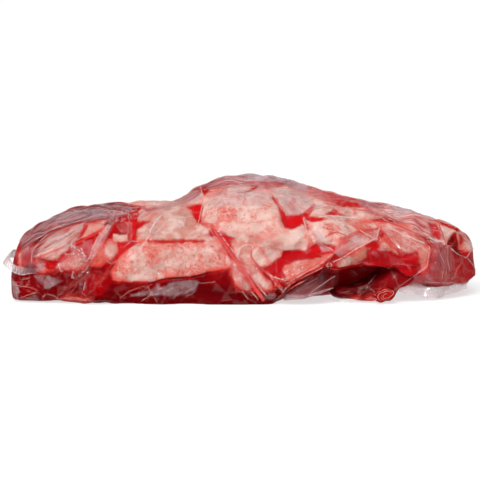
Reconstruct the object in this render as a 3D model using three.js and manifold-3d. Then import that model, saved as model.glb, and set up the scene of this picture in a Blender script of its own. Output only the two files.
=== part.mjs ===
// A whole raw brisket, vacuum packed in a clear bag that clings to it all round.
// Millimetres, +Z up. The cut lies along X on a flat underside, and its fat side faces -Y.
// The bag and its contents are one solid, because the film is shrunk tight onto the meat.
// Origin: the middle of the footprint, on the surface that the pack rests on.
import * as THREE from "three";
import { mergeVertices } from "three/addons/utils/BufferGeometryUtils.js";
import Module from "manifold-3d";

// Driving sizes of the pack
const LEFT_END = -233; // the blunt end, which carries the bag's seal
const RIGHT_END = 234;
const LEFT_CAP = 24; // how far each end takes to round off
const RIGHT_CAP = 42;
const LEFT_BLUNTNESS = 4.2; // a higher number is a squarer end
const RIGHT_BLUNTNESS = 3;
const END_LEAN = 3; // the blunt end leans back by this much at its top
const SIDE_SQUARENESS_LOW = 6; // of the section below its middle
const SIDE_SQUARENESS_HIGH = 2.3; // and above it
const MIDDLE_SHARE = 0.38; // where the section's middle lies, as a share of its height
const FRONT_FOOT = -70; // where the front of the underside meets the surface
const SIGHT_TILT = THREE.MathUtils.degToRad(8); // the fat side is drawn on a plane tipped back this far

// Profiles along the cut, as [x, size]
const CREST_HEIGHT = [
  [-232, 66], [-216, 73], [-199, 78], [-167, 86], [-130, 90], [-78, 93], [-48, 107],
  [-22, 116], [0, 119], [24, 118], [81, 102], [130, 90], [177, 80], [205, 73], [232, 63],
];
const UNDERSIDE_HEIGHT = [[-232, -5], [100, -5], [135, 0], [156, 12], [195, 12], [232, 9]];
const FRONT_REACH = [
  [-232, -66], [-205, -73], [-150, -78], [0, -80], [120, -80], [150, -74], [185, -58], [232, -30],
];
const BACK_REACH = [
  [-232, 62], [-205, 76], [-150, 90], [-40, 102], [60, 104], [140, 94], [190, 78], [232, 54],
];

// The overhang on the front: how high its lip is, and how far the film stands back below it
const LIP_HEIGHT = [
  [22, 4], [36, 9], [62, 25], [91, 41], [120, 44], [150, 44], [166, 36], [182, 24], [198, 19], [232, 22],
];
const LIP_SETBACK = [[22, 0], [40, 10], [62, 20], [85, 26], [100, 34], [145, 34], [165, 18], [184, 0]];
const LIP_EDGE = 5; // the lip turns under within this height
const FOOT_LIFT = [[18, 0], [40, 4], [62, 8], [81, 10], [96, 6], [120, 3], [170, 0]]; // of its lower front

// Fat pads that stand out on the front: place along and up, half length, half width, tilt in degrees, rise
const PADS = [
  [-186, 58, 25, 12, 22, 3], // left pad
  [-134, 55, 8, 15, -12, 3], // small pad
  [-77, 40, 60, 19, 9, 5], // main pad
  [-75, 79, 36, 13, 6, 3], // upper pad
  [1, 92, 42, 29, 0, 4], // pad on the hump
  [50, 101, 17, 11, -15, 3],
  [44, 66, 18, 10, 25, 3],
  [17, 46, 11, 8, -50, 3],
  [13, 29, 22, 6, -55, 3], // strands beside the long fold
  [-9, 27, 18, 6, -70, 3],
  [82, 70, 20, 12, -10, 3],
  [59, 36, 38, 7, 27, 4], // strip along the lip
  [114, 53, 26, 11, 5, 4],
  [209, 72, 18, 14, -35, 3], // cap on the right end
];

// Valleys where red juice gathers: from along and up, to along and up, depth, half width
const VALLEYS = [
  [-138, 63, -25, 63, 3, 6],
  [-48, 96, -34, 82, 3, 6],
  [-34, 82, 19, 6, 4, 6], // beside the long fold
  [29, 106, 42, 82, 4, 7],
  [42, 82, 62, 87, 3, 6],
  [27, 42, 57, 54, 4, 8],
  [57, 54, 85, 57, 4, 6],
  [-168, 69, -185, 42, 3, 6],
  [-140, 82, -155, 36, 3, 6],
  [-155, 36, -146, 4, 3, 7],
  [104, 64, 140, 48, 3, 7],
  [205, 72, 214, 54, 5, 7], // hollow in the right end
];

// Folds of spare film that stand up as ridges: from along and up, to along and up, height, half width
const FOLDS = [
  [-34, 84, 20, 5, 2.6, 7], // the long fold, which is double
  [19, 10, 57, 31, 2.4, 7], // along the lip and up to the right
  [57, 31, 91, 52, 2.4, 7],
  [91, 52, 142, 78, 2, 7],
  [142, 78, 190, 88, 2, 7],
  [-196, 34, -158, 42, 2.2, 7],
  [-158, 42, -140, 80, 2.2, 7],
  [-218, 6, -165, 32, 2, 7],
  [178, 50, 160, 26, 2, 7],
  [185, 76, 228, 50, 2, 7],
];

// The rolled flap of meat that hangs below the overhang, from its thin tip to its root
const FLAP_TIP_X = 87;
const FLAP_ROOT_X = 150;
const FLAP_FRONT = [[87, -60], [110, -66], [138, -70], [150, -64]];
const FLAP_BACK = [[87, -40], [150, -18]];
const FLAP_TOP = [[87, 7], [100, 15], [120, 21], [135, 32], [150, 37]];
const FLAP_SQUARENESS = 2.8;
const CURL_RADIUS = 10; // the flap's rolled end, which shows as a coil
const CURL_LENGTH = 30;
const CURL_PLACE = [141, -62, 10];
const CURL_GROOVE = 2.5;

// The bag's sealed strip round the blunt end, and its loose hems of film
const STRIP_TOP = 38;
const STRIP_WIDTH = 12;
const STRIP_FLARE = 6; // how far the strip stands off the end where it is free
const STRIP_TURN_START = -97; // degrees round the end, from the front
const STRIP_TURN_END = 84;
const FILM_THICKNESS = 1.4; // of a welded strip or doubled hem
const RIB_PITCH = 7.5; // degrees
const RIB_HEIGHT = 0.5;
const HEM_START_X = 152;
const HEM_END_X = 222;
const HEM_WAVES = 3.5;
const HEM_DROP = 5; // below the underside there

// Fineness of the skin
const BODY_RINGS = 88;
const AROUND_ABOVE_LIP = 40; // points of a ring from the middle of the underside, over the top, to the lip
const AROUND_BELOW_LIP = 13; // and from the lip back to the middle of the underside
const FRONT_CROWDING = 0.9; // how much closer the points lie on the front
const OUTLINE_STEPS = 240;
const LUMP_SIZE = 52;
const LUMP_HEIGHT = 1.8;
const GOLDEN_TURN = Math.PI * (3 - Math.sqrt(5));

const { sin, cos, abs, sign, pow, min, max, hypot, PI } = Math;

function smoothStep(low, high, value) {
  const t = min(max((value - low) / (high - low), 0), 1);
  return t * t * (3 - 2 * t);
}

// A smooth curve through [x, size] stations that never overshoots them.
function curveThrough(stations) {
  const rise = stations.slice(1).map(([x, y], i) => (y - stations[i][1]) / (x - stations[i][0]));
  const slope = stations.map((_, i) => {
    const before = rise[i - 1] ?? 0;
    const after = rise[i] ?? 0;
    return before * after > 0 ? (2 * before * after) / (before + after) : 0;
  });
  return (x) => {
    const inside = min(max(x, stations[0][0]), stations.at(-1)[0]);
    const i = max(0, stations.findLastIndex(([at], n) => at <= inside && n + 1 < stations.length));
    const [x0, y0] = stations[i];
    const [x1, y1] = stations[i + 1];
    const width = x1 - x0;
    const t = (inside - x0) / width;
    return (
      y0 * (1 + 2 * t) * (1 - t) ** 2 +
      y1 * t * t * (3 - 2 * t) +
      width * t * (1 - t) * (slope[i] * (1 - t) - slope[i + 1] * t)
    );
  };
}

const crestAt = curveThrough(CREST_HEIGHT);
const undersideAt = curveThrough(UNDERSIDE_HEIGHT);
const frontAt = curveThrough(FRONT_REACH);
const backAt = curveThrough(BACK_REACH);
const lipAt = curveThrough(LIP_HEIGHT);
const setbackAt = curveThrough(LIP_SETBACK);
const liftAt = curveThrough(FOOT_LIFT);

// Soft lumps of the meat: waves that run in evenly spread directions, summed.
function lumps(p, size, waves = 11) {
  let sum = 0;
  for (let i = 0; i < waves; i++) {
    const z = 1 - (2 * i + 1) / waves;
    const flat = Math.sqrt(1 - z * z);
    const turn = i * GOLDEN_TURN;
    const along = flat * cos(turn) * p.x + flat * sin(turn) * p.y + z * p.z;
    const stretch = 0.75 + 0.5 * ((i * 0.618) % 1);
    sum += sin((2 * PI * stretch * along) / size + 1.7 * i * i);
  }
  return sum / Math.sqrt(waves / 2);
}

// Height on the plane on which the front is drawn, tipped back by SIGHT_TILT.
function heightOnPlane(p) {
  return p.z * cos(SIGHT_TILT) + (p.y - FRONT_FOOT) * sin(SIGHT_TILT);
}

// Distance from a place on that plane to a line, and how far along the line it is.
function nearLine(along, up, [x0, h0, x1, h1]) {
  const dx = x1 - x0;
  const dh = h1 - h0;
  const t = min(max(((along - x0) * dx + (up - h0) * dh) / (dx * dx + dh * dh), 0), 1);
  return { distance: hypot(along - x0 - t * dx, up - h0 - t * dh), t };
}

// How far the front stands out at a place: pads out, valleys in, folds out.
function frontRelief(along, up) {
  let out = 0;
  for (const [x, h, length, width, tilt, rise] of PADS) {
    const turn = THREE.MathUtils.degToRad(tilt);
    const u = (along - x) * cos(turn) + (up - h) * sin(turn);
    const v = (up - h) * cos(turn) - (along - x) * sin(turn);
    out += rise * (1 - smoothStep(0.7, 1.2, hypot(u / length, v / width)));
  }
  for (const valley of VALLEYS) {
    const { distance } = nearLine(along, up, valley);
    out -= valley[4] * Math.exp(-((distance / valley[5]) ** 2));
  }
  for (const fold of FOLDS) {
    const { distance, t } = nearLine(along, up, fold);
    out += fold[4] * max(0, 1 - distance / fold[5]) * (0.6 + 0.4 * sin(PI * t));
  }
  return out;
}

// The outline of the section at x as a function of the turn round it, shrunk by a scale near the ends.
function sectionAt(x, scale) {
  const front = frontAt(x);
  const back = backAt(x);
  const crest = crestAt(x);
  const under = undersideAt(x);
  const middleY = (front + back) / 2;
  const middleZ = under + MIDDLE_SHARE * (crest - under);
  return (turn) => {
    const c = cos(turn);
    const s = sin(turn);
    const n = SIDE_SQUARENESS_LOW + (SIDE_SQUARENESS_HIGH - SIDE_SQUARENESS_LOW) * smoothStep(-0.45, 0.5, s);
    const halfDepth = c < 0 ? middleY - front : back - middleY;
    const halfHeight = s < 0 ? middleZ - under : crest - middleZ;
    const reach = scale * pow(pow(abs(c) / halfDepth, n) + pow(abs(s) / halfHeight, n), -1 / n);
    const p = new THREE.Vector3(x, middleY + reach * c, middleZ + reach * s);
    const outwards = min(max((middleY - p.y) / (middleY - front), 0), 1);
    const below = smoothStep(0, LIP_EDGE, lipAt(x) - p.z);
    p.z += liftAt(x) * outwards * (1 - smoothStep(under + 2, under + 26, p.z));
    p.y += setbackAt(x) * below * pow(outwards, 1.5);
    const high = smoothStep(0.3, 1, p.z / crest) * (1 - smoothStep(0, 2 * LEFT_CAP, x - LEFT_END));
    p.x += END_LEAN * high;
    return p;
  };
}

// Shares out points evenly along a stretch of the outline, closer where the front is.
function shareOut(outline, startTurn, endTurn, count) {
  const fine = [];
  const travelled = [0];
  for (let i = 0; i <= OUTLINE_STEPS; i++) {
    const turn = startTurn + ((endTurn - startTurn) * i) / OUTLINE_STEPS;
    fine.push(outline(turn));
    if (i > 0) {
      const weight = 1 + FRONT_CROWDING * max(0, -cos(turn));
      travelled.push(travelled[i - 1] + weight * fine[i].distanceTo(fine[i - 1]));
    }
  }
  const points = [];
  for (let k = 0, i = 0; k < count; k++) {
    const goal = (travelled.at(-1) * k) / count;
    while (travelled[i + 1] < goal) i++;
    const t = (goal - travelled[i]) / max(travelled[i + 1] - travelled[i], 1e-9);
    points.push(fine[i].clone().lerp(fine[i + 1], t));
  }
  return points;
}

// One ring of the body. A row of its points always lies on the lip, so that the overhang has a clean edge.
function bodyRing(x, scale) {
  const whole = sectionAt(x, 1);
  let above = PI / 2;
  let below = 1.5 * PI;
  while (below - above > 1e-4) {
    const halfway = (above + below) / 2;
    if (whole(halfway).z > lipAt(x)) above = halfway;
    else below = halfway;
  }
  const outline = sectionAt(x, scale);
  return [
    ...shareOut(outline, -PI / 2, above, AROUND_ABOVE_LIP),
    ...shareOut(outline, above, 1.5 * PI, AROUND_BELOW_LIP),
  ];
}

// Ring places: close together over the rounded ends, even between them.
function bodyRings() {
  const rings = [];
  const capRings = 9;
  const addCap = (end, cap, bluntness, inward) => {
    const made = [];
    for (let i = 1; i <= capRings; i++) {
      const turn = (i / capRings) * (PI / 2);
      const out = pow(cos(turn), 2 / bluntness);
      made.push(bodyRing(end + inward * cap * (1 - out), pow(sin(turn), 2 / bluntness)));
    }
    return made;
  };
  rings.push(...addCap(LEFT_END, LEFT_CAP, LEFT_BLUNTNESS, 1));
  const between = BODY_RINGS - 2 * capRings;
  const start = LEFT_END + LEFT_CAP;
  const stop = RIGHT_END - RIGHT_CAP;
  for (let i = 1; i < between; i++) rings.push(bodyRing(start + ((stop - start) * i) / between, 1));
  rings.push(...addCap(RIGHT_END, RIGHT_CAP, RIGHT_BLUNTNESS, -1).reverse());
  return rings;
}

// Moves each point along its normal by what amount(point, facing) gives, then rests it on the surface.
function raise(rings, amount) {
  const around = rings[0].length;
  const sight = new THREE.Vector3(0, -cos(SIGHT_TILT), sin(SIGHT_TILT));
  return rings.map((ring, i) =>
    ring.map((p, j) => {
      const before = rings[max(i - 1, 0)][j];
      const after = rings[min(i + 1, rings.length - 1)][j];
      const along = new THREE.Vector3().subVectors(after, before);
      const round = new THREE.Vector3().subVectors(ring[(j + 1) % around], ring[(j + around - 1) % around]);
      const normal = new THREE.Vector3().crossVectors(round, along).normalize();
      const moved = p.clone().addScaledVector(normal, amount(p, normal.dot(sight)));
      moved.z = max(moved.z, 0);
      return moved;
    }),
  );
}

// Joins rings of points into one closed skin, with a fan over each end.
function loft(rings) {
  const around = rings[0].length;
  const centre = (ring) => ring.reduce((sum, p) => sum.add(p), new THREE.Vector3()).divideScalar(around);
  const points = [...rings.flat(), centre(rings[0]), centre(rings.at(-1))];
  const startFan = points.length - 2;
  const endFan = points.length - 1;
  const faces = [];
  for (let j = 0; j < around; j++) {
    const next = (j + 1) % around;
    for (let i = 0; i + 1 < rings.length; i++) {
      const here = i * around;
      const there = here + around;
      faces.push(here + j, here + next, there + j, here + next, there + next, there + j);
    }
    const last = (rings.length - 1) * around;
    faces.push(startFan, next, j, endFan, last + j, last + next);
  }
  const geometry = new THREE.BufferGeometry().setFromPoints(points);
  geometry.setIndex(faces);
  return geometry;
}

// The body of the pack, with its lumps, pads, valleys and folds.
function body() {
  return loft(
    raise(bodyRings(), (p, facing) => {
      const fromEnd = min(p.x - LEFT_END, RIGHT_END - p.x);
      const quiet = smoothStep(0, 12, fromEnd);
      const onFront = smoothStep(0.05, 0.4, facing) * smoothStep(0, 6, p.z);
      const soft = LUMP_HEIGHT * lumps(p, LUMP_SIZE) + 0.4 * LUMP_HEIGHT * lumps(p, LUMP_SIZE / 2.3);
      return quiet * (soft + onFront * frontRelief(p.x, heightOnPlane(p))) - LUMP_HEIGHT;
    }),
  );
}

// The rolled flap under the overhang: an uneven loft that thickens towards its root.
function flap() {
  const top = curveThrough(FLAP_TOP);
  const front = curveThrough(FLAP_FRONT);
  const back = curveThrough(FLAP_BACK);
  const rings = [];
  const ringCount = 15;
  const around = 18;
  for (let i = 0; i <= ringCount; i++) {
    const x = FLAP_TIP_X + ((FLAP_ROOT_X - FLAP_TIP_X) * i) / ringCount;
    const scale = pow(sin((PI / 2) * min(1, 0.12 + (2.4 * i) / ringCount)), 0.7);
    const middleY = (front(x) + back(x)) / 2;
    const middleZ = top(x) / 2 - 1;
    const ring = [];
    for (let j = 0; j < around; j++) {
      const turn = (2 * PI * j) / around;
      const depth = pow(abs(cos(turn)) / (middleY - front(x)), FLAP_SQUARENESS);
      const height = pow(abs(sin(turn)) / (top(x) / 2 + 1), FLAP_SQUARENESS);
      const reach = scale * pow(depth + height, -1 / FLAP_SQUARENESS);
      ring.push(new THREE.Vector3(x, middleY + reach * cos(turn), middleZ + reach * sin(turn)));
    }
    rings.push(ring);
  }
  return loft(raise(rings, (p) => 1.2 * lumps(p, 24)));
}

// The flap's rolled end: a short round bar that faces forwards, with a groove where the roll shows.
function curl() {
  const r = CURL_RADIUS;
  const half = CURL_LENGTH / 2;
  const profile = [
    [0, -half], [r * 0.9, -half], [r, -half + 2], [r, half - 2], [r * 0.85, half],
    [r * 0.6, half - CURL_GROOVE], [r * 0.35, half - 0.4], [0, half],
  ].map(([radius, height]) => new THREE.Vector2(radius, height));
  const bar = new THREE.LatheGeometry(profile, 16);
  bar.rotateX(PI); // its grooved face now looks towards -Y
  bar.rotateZ(THREE.MathUtils.degToRad(14));
  bar.translate(...CURL_PLACE);
  return bar;
}

// A thin wavy band between an upper and a lower edge, given as functions of a share from 0 to 1.
function band(count, edges) {
  const rings = [];
  for (let i = 0; i <= count; i++) {
    const { inner, bend, outer, across } = edges(i / count);
    const half = across.clone().multiplyScalar(FILM_THICKNESS / 2);
    const ring = [inner, bend, outer].map((p) => p.clone().add(half));
    ring.push(...[outer, bend, inner].map((p) => p.clone().sub(half)));
    rings.push(ring);
  }
  return loft(rings);
}

// The sealed strip of the bag: it wraps the blunt end, flat on the front and standing off at the back.
function sealStrip() {
  return band(44, (t) => {
    const degrees = STRIP_TURN_END + (STRIP_TURN_START - STRIP_TURN_END) * t;
    const turn = THREE.MathUtils.degToRad(degrees);
    const round = (value) => sign(value) * pow(abs(value), 2 / LEFT_BLUNTNESS);
    const out = new THREE.Vector3(-cos(turn), sin(turn), 0);
    const x = LEFT_END + LEFT_CAP * 1.1 * (1 - round(cos(turn)));
    const side = turn < 0 ? -frontAt(x) : backAt(x);
    const wall = new THREE.Vector3(x, side * round(sin(turn)), 0);
    const free = smoothStep(-60, -5, degrees) * (1 - smoothStep(50, 84, degrees));
    const rib = RIB_HEIGHT * sin((2 * PI * degrees) / RIB_PITCH);
    const at = (away, height) => wall.clone().addScaledVector(out, away).setZ(height);
    const sag = 2.5 * sin(PI * t);
    return {
      inner: at(-10, STRIP_TOP),
      bend: at(1.2 + free * STRIP_FLARE * 0.75 + rib, STRIP_TOP - 0.35 * STRIP_WIDTH),
      outer: at(1.6 + free * STRIP_FLARE + rib, STRIP_TOP - STRIP_WIDTH + sag),
      across: out,
    };
  });
}

// The loose hem of film that hangs from the raised right end, short of the surface.
function hem() {
  return band(26, (t) => {
    const x = HEM_START_X + (HEM_END_X - HEM_START_X) * t;
    const y = frontAt(x) + 12;
    const wave = sin(2 * PI * HEM_WAVES * t);
    const root = undersideAt(x);
    return {
      inner: new THREE.Vector3(x, y + 10, root + 9),
      bend: new THREE.Vector3(x, y + 1 + wave, root + 1),
      outer: new THREE.Vector3(x, y - 3 + 2 * wave, root - HEM_DROP * sin(PI * t) - 0.6 * wave),
      across: new THREE.Vector3(0, -1, 0),
    };
  });
}

const wasm = await Module();
wasm.setup();

// A closed geometry as a solid that can be joined.
function solidOf(geometry) {
  const bare = geometry.clone();
  bare.deleteAttribute("normal");
  bare.deleteAttribute("uv");
  const merged = mergeVertices(bare, 1e-4);
  const solid = new wasm.Manifold(
    new wasm.Mesh({
      numProp: 3,
      vertProperties: new Float32Array(merged.attributes.position.array),
      triVerts: new Uint32Array(merged.index.array),
    }),
  );
  if (solid.volume() < 0) throw new Error("a skin faces inwards");
  return solid;
}

// The joined solid as a geometry, moved so that the origin is the middle of its footprint.
function geometryOf(solid) {
  const mesh = solid.getMesh();
  const geometry = new THREE.BufferGeometry();
  geometry.setAttribute("position", new THREE.BufferAttribute(new Float32Array(mesh.vertProperties), 3));
  geometry.setIndex(new THREE.BufferAttribute(new Uint32Array(mesh.triVerts), 1));
  geometry.computeBoundingBox();
  const middle = geometry.boundingBox.getCenter(new THREE.Vector3());
  geometry.translate(-middle.x, -middle.y, 0);
  geometry.computeVertexNormals();
  return geometry;
}

const pack = [flap(), curl(), sealStrip(), hem()]
  .map(solidOf)
  .reduce((joined, piece) => joined.add(piece), solidOf(body()));

const filmOverMeat = new THREE.MeshStandardMaterial({ color: 0xc9706a, roughness: 0.25, metalness: 0 });
const brisketPack = new THREE.Mesh(geometryOf(pack), filmOverMeat);
brisketPack.name = "vacuum_packed_brisket";

const group = new THREE.Group();
group.add(brisketPack);

export default group;
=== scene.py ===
# %% [markdown]
# # A vacuum-packed brisket
# A whole raw brisket lies in a clear bag that has been pumped empty and shrunk. Three things show:
# the meat with its pale fat and dark lean, the red juice that gathers between the folds, and the film
# over both. The CAD part is one plain solid in their place. This file builds the three as surfaces
# that follow the solid's own shape, in millimetres, and turns them to metres when a mesh is made.

import math

import bpy
import numpy as np
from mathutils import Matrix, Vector
from mathutils.geometry import delaunay_2d_cdt


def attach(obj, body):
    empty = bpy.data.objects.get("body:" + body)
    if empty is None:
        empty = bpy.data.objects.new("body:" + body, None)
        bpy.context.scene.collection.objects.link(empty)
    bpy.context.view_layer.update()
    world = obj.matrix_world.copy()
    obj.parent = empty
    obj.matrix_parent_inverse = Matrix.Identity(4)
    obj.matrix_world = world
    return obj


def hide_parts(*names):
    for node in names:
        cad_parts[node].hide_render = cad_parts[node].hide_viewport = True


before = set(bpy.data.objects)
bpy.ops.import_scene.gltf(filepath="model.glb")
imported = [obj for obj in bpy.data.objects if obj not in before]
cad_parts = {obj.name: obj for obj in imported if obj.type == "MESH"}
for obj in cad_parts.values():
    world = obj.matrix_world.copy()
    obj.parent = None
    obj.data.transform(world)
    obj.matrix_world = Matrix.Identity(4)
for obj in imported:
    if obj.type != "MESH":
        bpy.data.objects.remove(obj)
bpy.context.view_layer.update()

# %% [markdown]
# ## The shape of the pack
# The solid is lofted from sections along the cut. A section is a squared oval whose reach is worked
# out from a few profiles: how high the crest is, how far the front and back reach, and how the front
# edge overhangs. The same profiles are used here, so that the film lies where the solid does. They
# are pairs of x and size in millimetres, and long lists of pairs are kept as text.


# %% Profiles along the cut
def pairs(text):
    """A list of pairs of numbers, from text such as '-232,66 -216,73'."""
    return [tuple(float(number) for number in pair.split(",")) for pair in text.split()]


LEFT_END, RIGHT_END = -233, 234
LEFT_CAP, RIGHT_CAP = 24, 42
LEFT_BLUNTNESS, RIGHT_BLUNTNESS = 4.2, 3
END_LEAN = 6  # the blunt end's upper half leans inwards
DENT_DEPTH, DENT_HEIGHT, DENT_SPREAD, DENT_LENGTH = 2.6, 37, 11, 24  # a shallow dent in the raised end
SIDE_SQUARENESS_LOW, SIDE_SQUARENESS_HIGH = 6, 2.3
MIDDLE_SHARE = 0.38
FRONT_FOOT = -70
SIGHT_TILT = math.radians(8)
LIP_EDGE = 5
CREST_HEIGHT = pairs(
    "-232,66 -216,73 -199,78 -167,86 -130,90 -78,93 -48,107 -22,116 0,119 24,118 81,102 130,90 177,80 205,73 "
    "232,63")
UNDERSIDE_HEIGHT = pairs("-232,-5 100,-5 135,0 156,12 195,12 232,9")
FRONT_REACH = pairs("-232,-66 -205,-73 -150,-78 0,-80 120,-80 150,-74 185,-58 232,-30")
BACK_REACH = pairs("-232,62 -205,76 -150,90 -40,102 60,104 140,94 190,78 232,54")
LIP_HEIGHT = pairs("22,4 36,9 62,25 91,41 120,44 150,44 166,36 182,24 198,19 232,22")
# The film hangs a little lower than the solid's lip, and the recess under it goes this far back.
LIP_DROOP = pairs("60,0 78,1 92,6.5 112,6 130,5.5 145,5.5 156,12 166,9 176,2 184,0")
LIP_SETBACK = pairs("22,0 40,10 62,20 85,26 100,34 140,34 156,20 166,10 184,0")
FOOT_LIFT = pairs("18,0 40,4 62,8 81,10 96,6 120,3 170,0")
FRAME_SHIFT = np.array([4.94, -10.18, 0.0])  # the solid is centred on its footprint


def ramp(low, high, value):
    """0 below low, 1 above high, and 3t^2 - 2t^3 between them."""
    t = np.clip((value - low) / (high - low), 0, 1)
    return t * t * (3 - 2 * t)


def curve(stations, x):
    """A smooth curve through (x, size) stations that never overshoots them.
    Between two stations it is a cubic. Its slope at a station is the harmonic mean of the
    rises on both sides where they agree in sign, and 0 where they don't."""
    at, size = np.array(stations, float).T
    rise = np.diff(size) / np.diff(at)
    both = rise[:-1] * rise[1:]
    slope = np.zeros(len(at))
    slope[1:-1] = np.where(both > 0, 2 * both / np.where(both > 0, rise[:-1] + rise[1:], 1), 0)
    inside = np.clip(x, at[0], at[-1])
    i = np.clip(np.searchsorted(at, inside, side="right") - 1, 0, len(at) - 2)
    width = at[i + 1] - at[i]
    t = (inside - at[i]) / width
    bend = width * t * (1 - t) * (slope[i] * (1 - t) - slope[i + 1] * t)
    return size[i] * (1 + 2 * t) * (1 - t) ** 2 + size[i + 1] * t * t * (3 - 2 * t) + bend


def lip_height(x):
    """Height of the lip: the solid's, less the droop of the film."""
    return curve(LIP_HEIGHT, x) - curve(LIP_DROOP, x)


def section(x, turn, scale):
    """The point of the section at x, at a turn round its middle, shrunk by a scale at the ends.
    reach = scale * (|cos/halfdepth|^n + |sin/halfheight|^n)^(-1/n), with n larger low down.
    Below the lip the point is set back, and the foot of the front is lifted. The upper half of the
    blunt end leans inwards, and the raised end has a dent: depth * exp(-(height / spread)^2)."""
    front, back = curve(FRONT_REACH, x), curve(BACK_REACH, x)
    crest, under = curve(CREST_HEIGHT, x), curve(UNDERSIDE_HEIGHT, x)
    middle_y, middle_z = (front + back) / 2, under + MIDDLE_SHARE * (crest - under)
    c, s = np.cos(turn), np.sin(turn)
    n = SIDE_SQUARENESS_LOW + (SIDE_SQUARENESS_HIGH - SIDE_SQUARENESS_LOW) * ramp(-0.45, 0.5, s)
    half_depth = np.where(c < 0, middle_y - front, back - middle_y)
    half_height = np.where(s < 0, middle_z - under, crest - middle_z)
    reach = scale * ((abs(c) / half_depth) ** n + (abs(s) / half_height) ** n) ** (-1 / n)
    y, z = middle_y + reach * c, middle_z + reach * s
    outwards = np.clip((middle_y - y) / (middle_y - front), 0, 1)
    below = ramp(0, LIP_EDGE, lip_height(x) - z)
    y = y + curve(LIP_SETBACK, x) * below * outwards**1.5
    z = z + curve(FOOT_LIFT, x) * outwards * (1 - ramp(under + 2, under + 26, z))
    high = (ramp(0.3, 1, z / crest) - 0.3) * (1 - ramp(0, 2 * LEFT_CAP, x - LEFT_END))
    dent = DENT_DEPTH * np.exp(-(((z - DENT_HEIGHT) / DENT_SPREAD) ** 2))
    dent = dent * ramp(RIGHT_END - DENT_LENGTH, RIGHT_END, x)
    return np.stack([x + END_LEAN * high - dent, y, z], axis=-1)


# %% [markdown]
# ## A grid of points over the pack
# Every surface of the pack shares one grid: rings along the cut, and points round each ring. The
# points lie closest on the front, where the fat side shows. One row always follows the lip, so that
# the overhanging edge is clean.

# %% Rings and turns of the grid
LEFT_CAP_RINGS, MIDDLE_RINGS, RIGHT_CAP_RINGS = 38, 340, 56
AROUND_ABOVE_LIP, AROUND_BELOW_LIP = 172, 38
FRONT_CROWDING = 5.0
OUTLINE_STEPS = 300
HALF_SPAN = 70  # about half of a full ring's width


def cap_rings(end, cap, bluntness, inward, count):
    """Ring places over a rounded end, from its tip. The end's outline is out^b + scale^b = 1,
    and the rings are shared out along it by length, closer near its rim."""
    u = np.linspace(0, 1, 4001)
    turn = (np.pi / 2) * u ** (bluntness / 2)
    out, scale = np.cos(turn) ** (2 / bluntness), np.sin(turn) ** (2 / bluntness)
    out[-1] = 0
    step = np.hypot(HALF_SPAN * np.diff(scale), cap * np.diff(out))
    step = step * (1 + 1.5 * ramp(0.6, 0.95, scale[1:]))
    travelled = np.concatenate([[0], np.cumsum(step)])
    goals = travelled[-1] * np.arange(1, count + 1) / count
    return end + inward * cap * (1 - np.interp(goals, travelled, out)), np.interp(goals, travelled, scale)


def shared_turns(x, scale, start, stop, count):
    """Turns that share out points along each ring's outline by its length, closer on the front."""
    turns = start[:, None] + (stop - start)[:, None] * np.linspace(0, 1, OUTLINE_STEPS + 1)
    step = np.linalg.norm(np.diff(section(x[:, None], turns, scale[:, None]), axis=1), axis=2)
    step = step * (1 + FRONT_CROWDING * ramp(-0.1, 0.25, -np.cos(turns[:, 1:])))
    travelled = np.concatenate([np.zeros((len(x), 1)), np.cumsum(step, axis=1)], axis=1)
    goals = travelled[:, -1:] * np.arange(count) / count
    return np.stack([np.interp(g, t, u) for g, t, u in zip(goals, travelled, turns)])


left_x, left_scale = cap_rings(LEFT_END, LEFT_CAP, LEFT_BLUNTNESS, 1, LEFT_CAP_RINGS)
right_x, right_scale = cap_rings(RIGHT_END, RIGHT_CAP, RIGHT_BLUNTNESS, -1, RIGHT_CAP_RINGS)
middle_x = np.linspace(LEFT_END + LEFT_CAP, RIGHT_END - RIGHT_CAP, MIDDLE_RINGS + 1)[1:-1]
ring_x = np.concatenate([left_x, middle_x, right_x[::-1]])
ring_scale = np.concatenate([left_scale, np.ones(len(middle_x)), right_scale[::-1]])
above, below = np.full(len(ring_x), np.pi / 2), np.full(len(ring_x), 1.5 * np.pi)
for _ in range(16):  # halve the bracket round the turn at which the ring passes the lip
    halfway = (above + below) / 2
    higher = section(ring_x, halfway, 1.0)[:, 2] > lip_height(ring_x)
    above, below = np.where(higher, halfway, above), np.where(higher, below, halfway)
bottom = np.full(len(ring_x), -np.pi / 2)
ring_turn = np.concatenate([
    shared_turns(ring_x, ring_scale, bottom, above, AROUND_ABOVE_LIP),
    shared_turns(ring_x, ring_scale, above, bottom + 2 * np.pi, AROUND_BELOW_LIP)], axis=1)
plain = section(ring_x[:, None], ring_turn, ring_scale[:, None])
RINGS, AROUND = ring_turn.shape
print(f"grid of {RINGS} rings by {AROUND} points, {2 * RINGS * AROUND} triangles")


# %% [markdown]
# A normal says which way the surface faces, and relief is raised along it. The length round a ring,
# counted from the crest, is used like a tape measure to place what lies over the top and the back.

# %% Normals and the length round each ring
def grid_normals(points):
    """Normals of a closed grid: the cross product of the way round and the way along."""
    round_way = np.roll(points, -1, axis=1) - np.roll(points, 1, axis=1)
    padded = np.concatenate([points[:1], points, points[-1:]])
    normal = np.cross(round_way, padded[2:] - padded[:-2])
    return normal / np.maximum(np.linalg.norm(normal, axis=2, keepdims=True), 1e-9)


normal = grid_normals(plain)
round_step = np.linalg.norm(np.diff(plain, axis=1, prepend=plain[:, -1:]), axis=2)
round_length = np.cumsum(round_step, axis=1)
crest_length = np.stack([np.interp(np.pi / 2, t, s) for t, s in zip(ring_turn, round_length)])
from_crest = round_length - crest_length[:, None]  # millimetres round the ring, towards the front

# %% [markdown]
# ## The relief of the solid
# The solid has soft lumps all over, and on its front fat pads, valleys where juice gathers and folds
# of film. They are sums of simple bumps, repeated here so that the looks match the solid.

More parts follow.
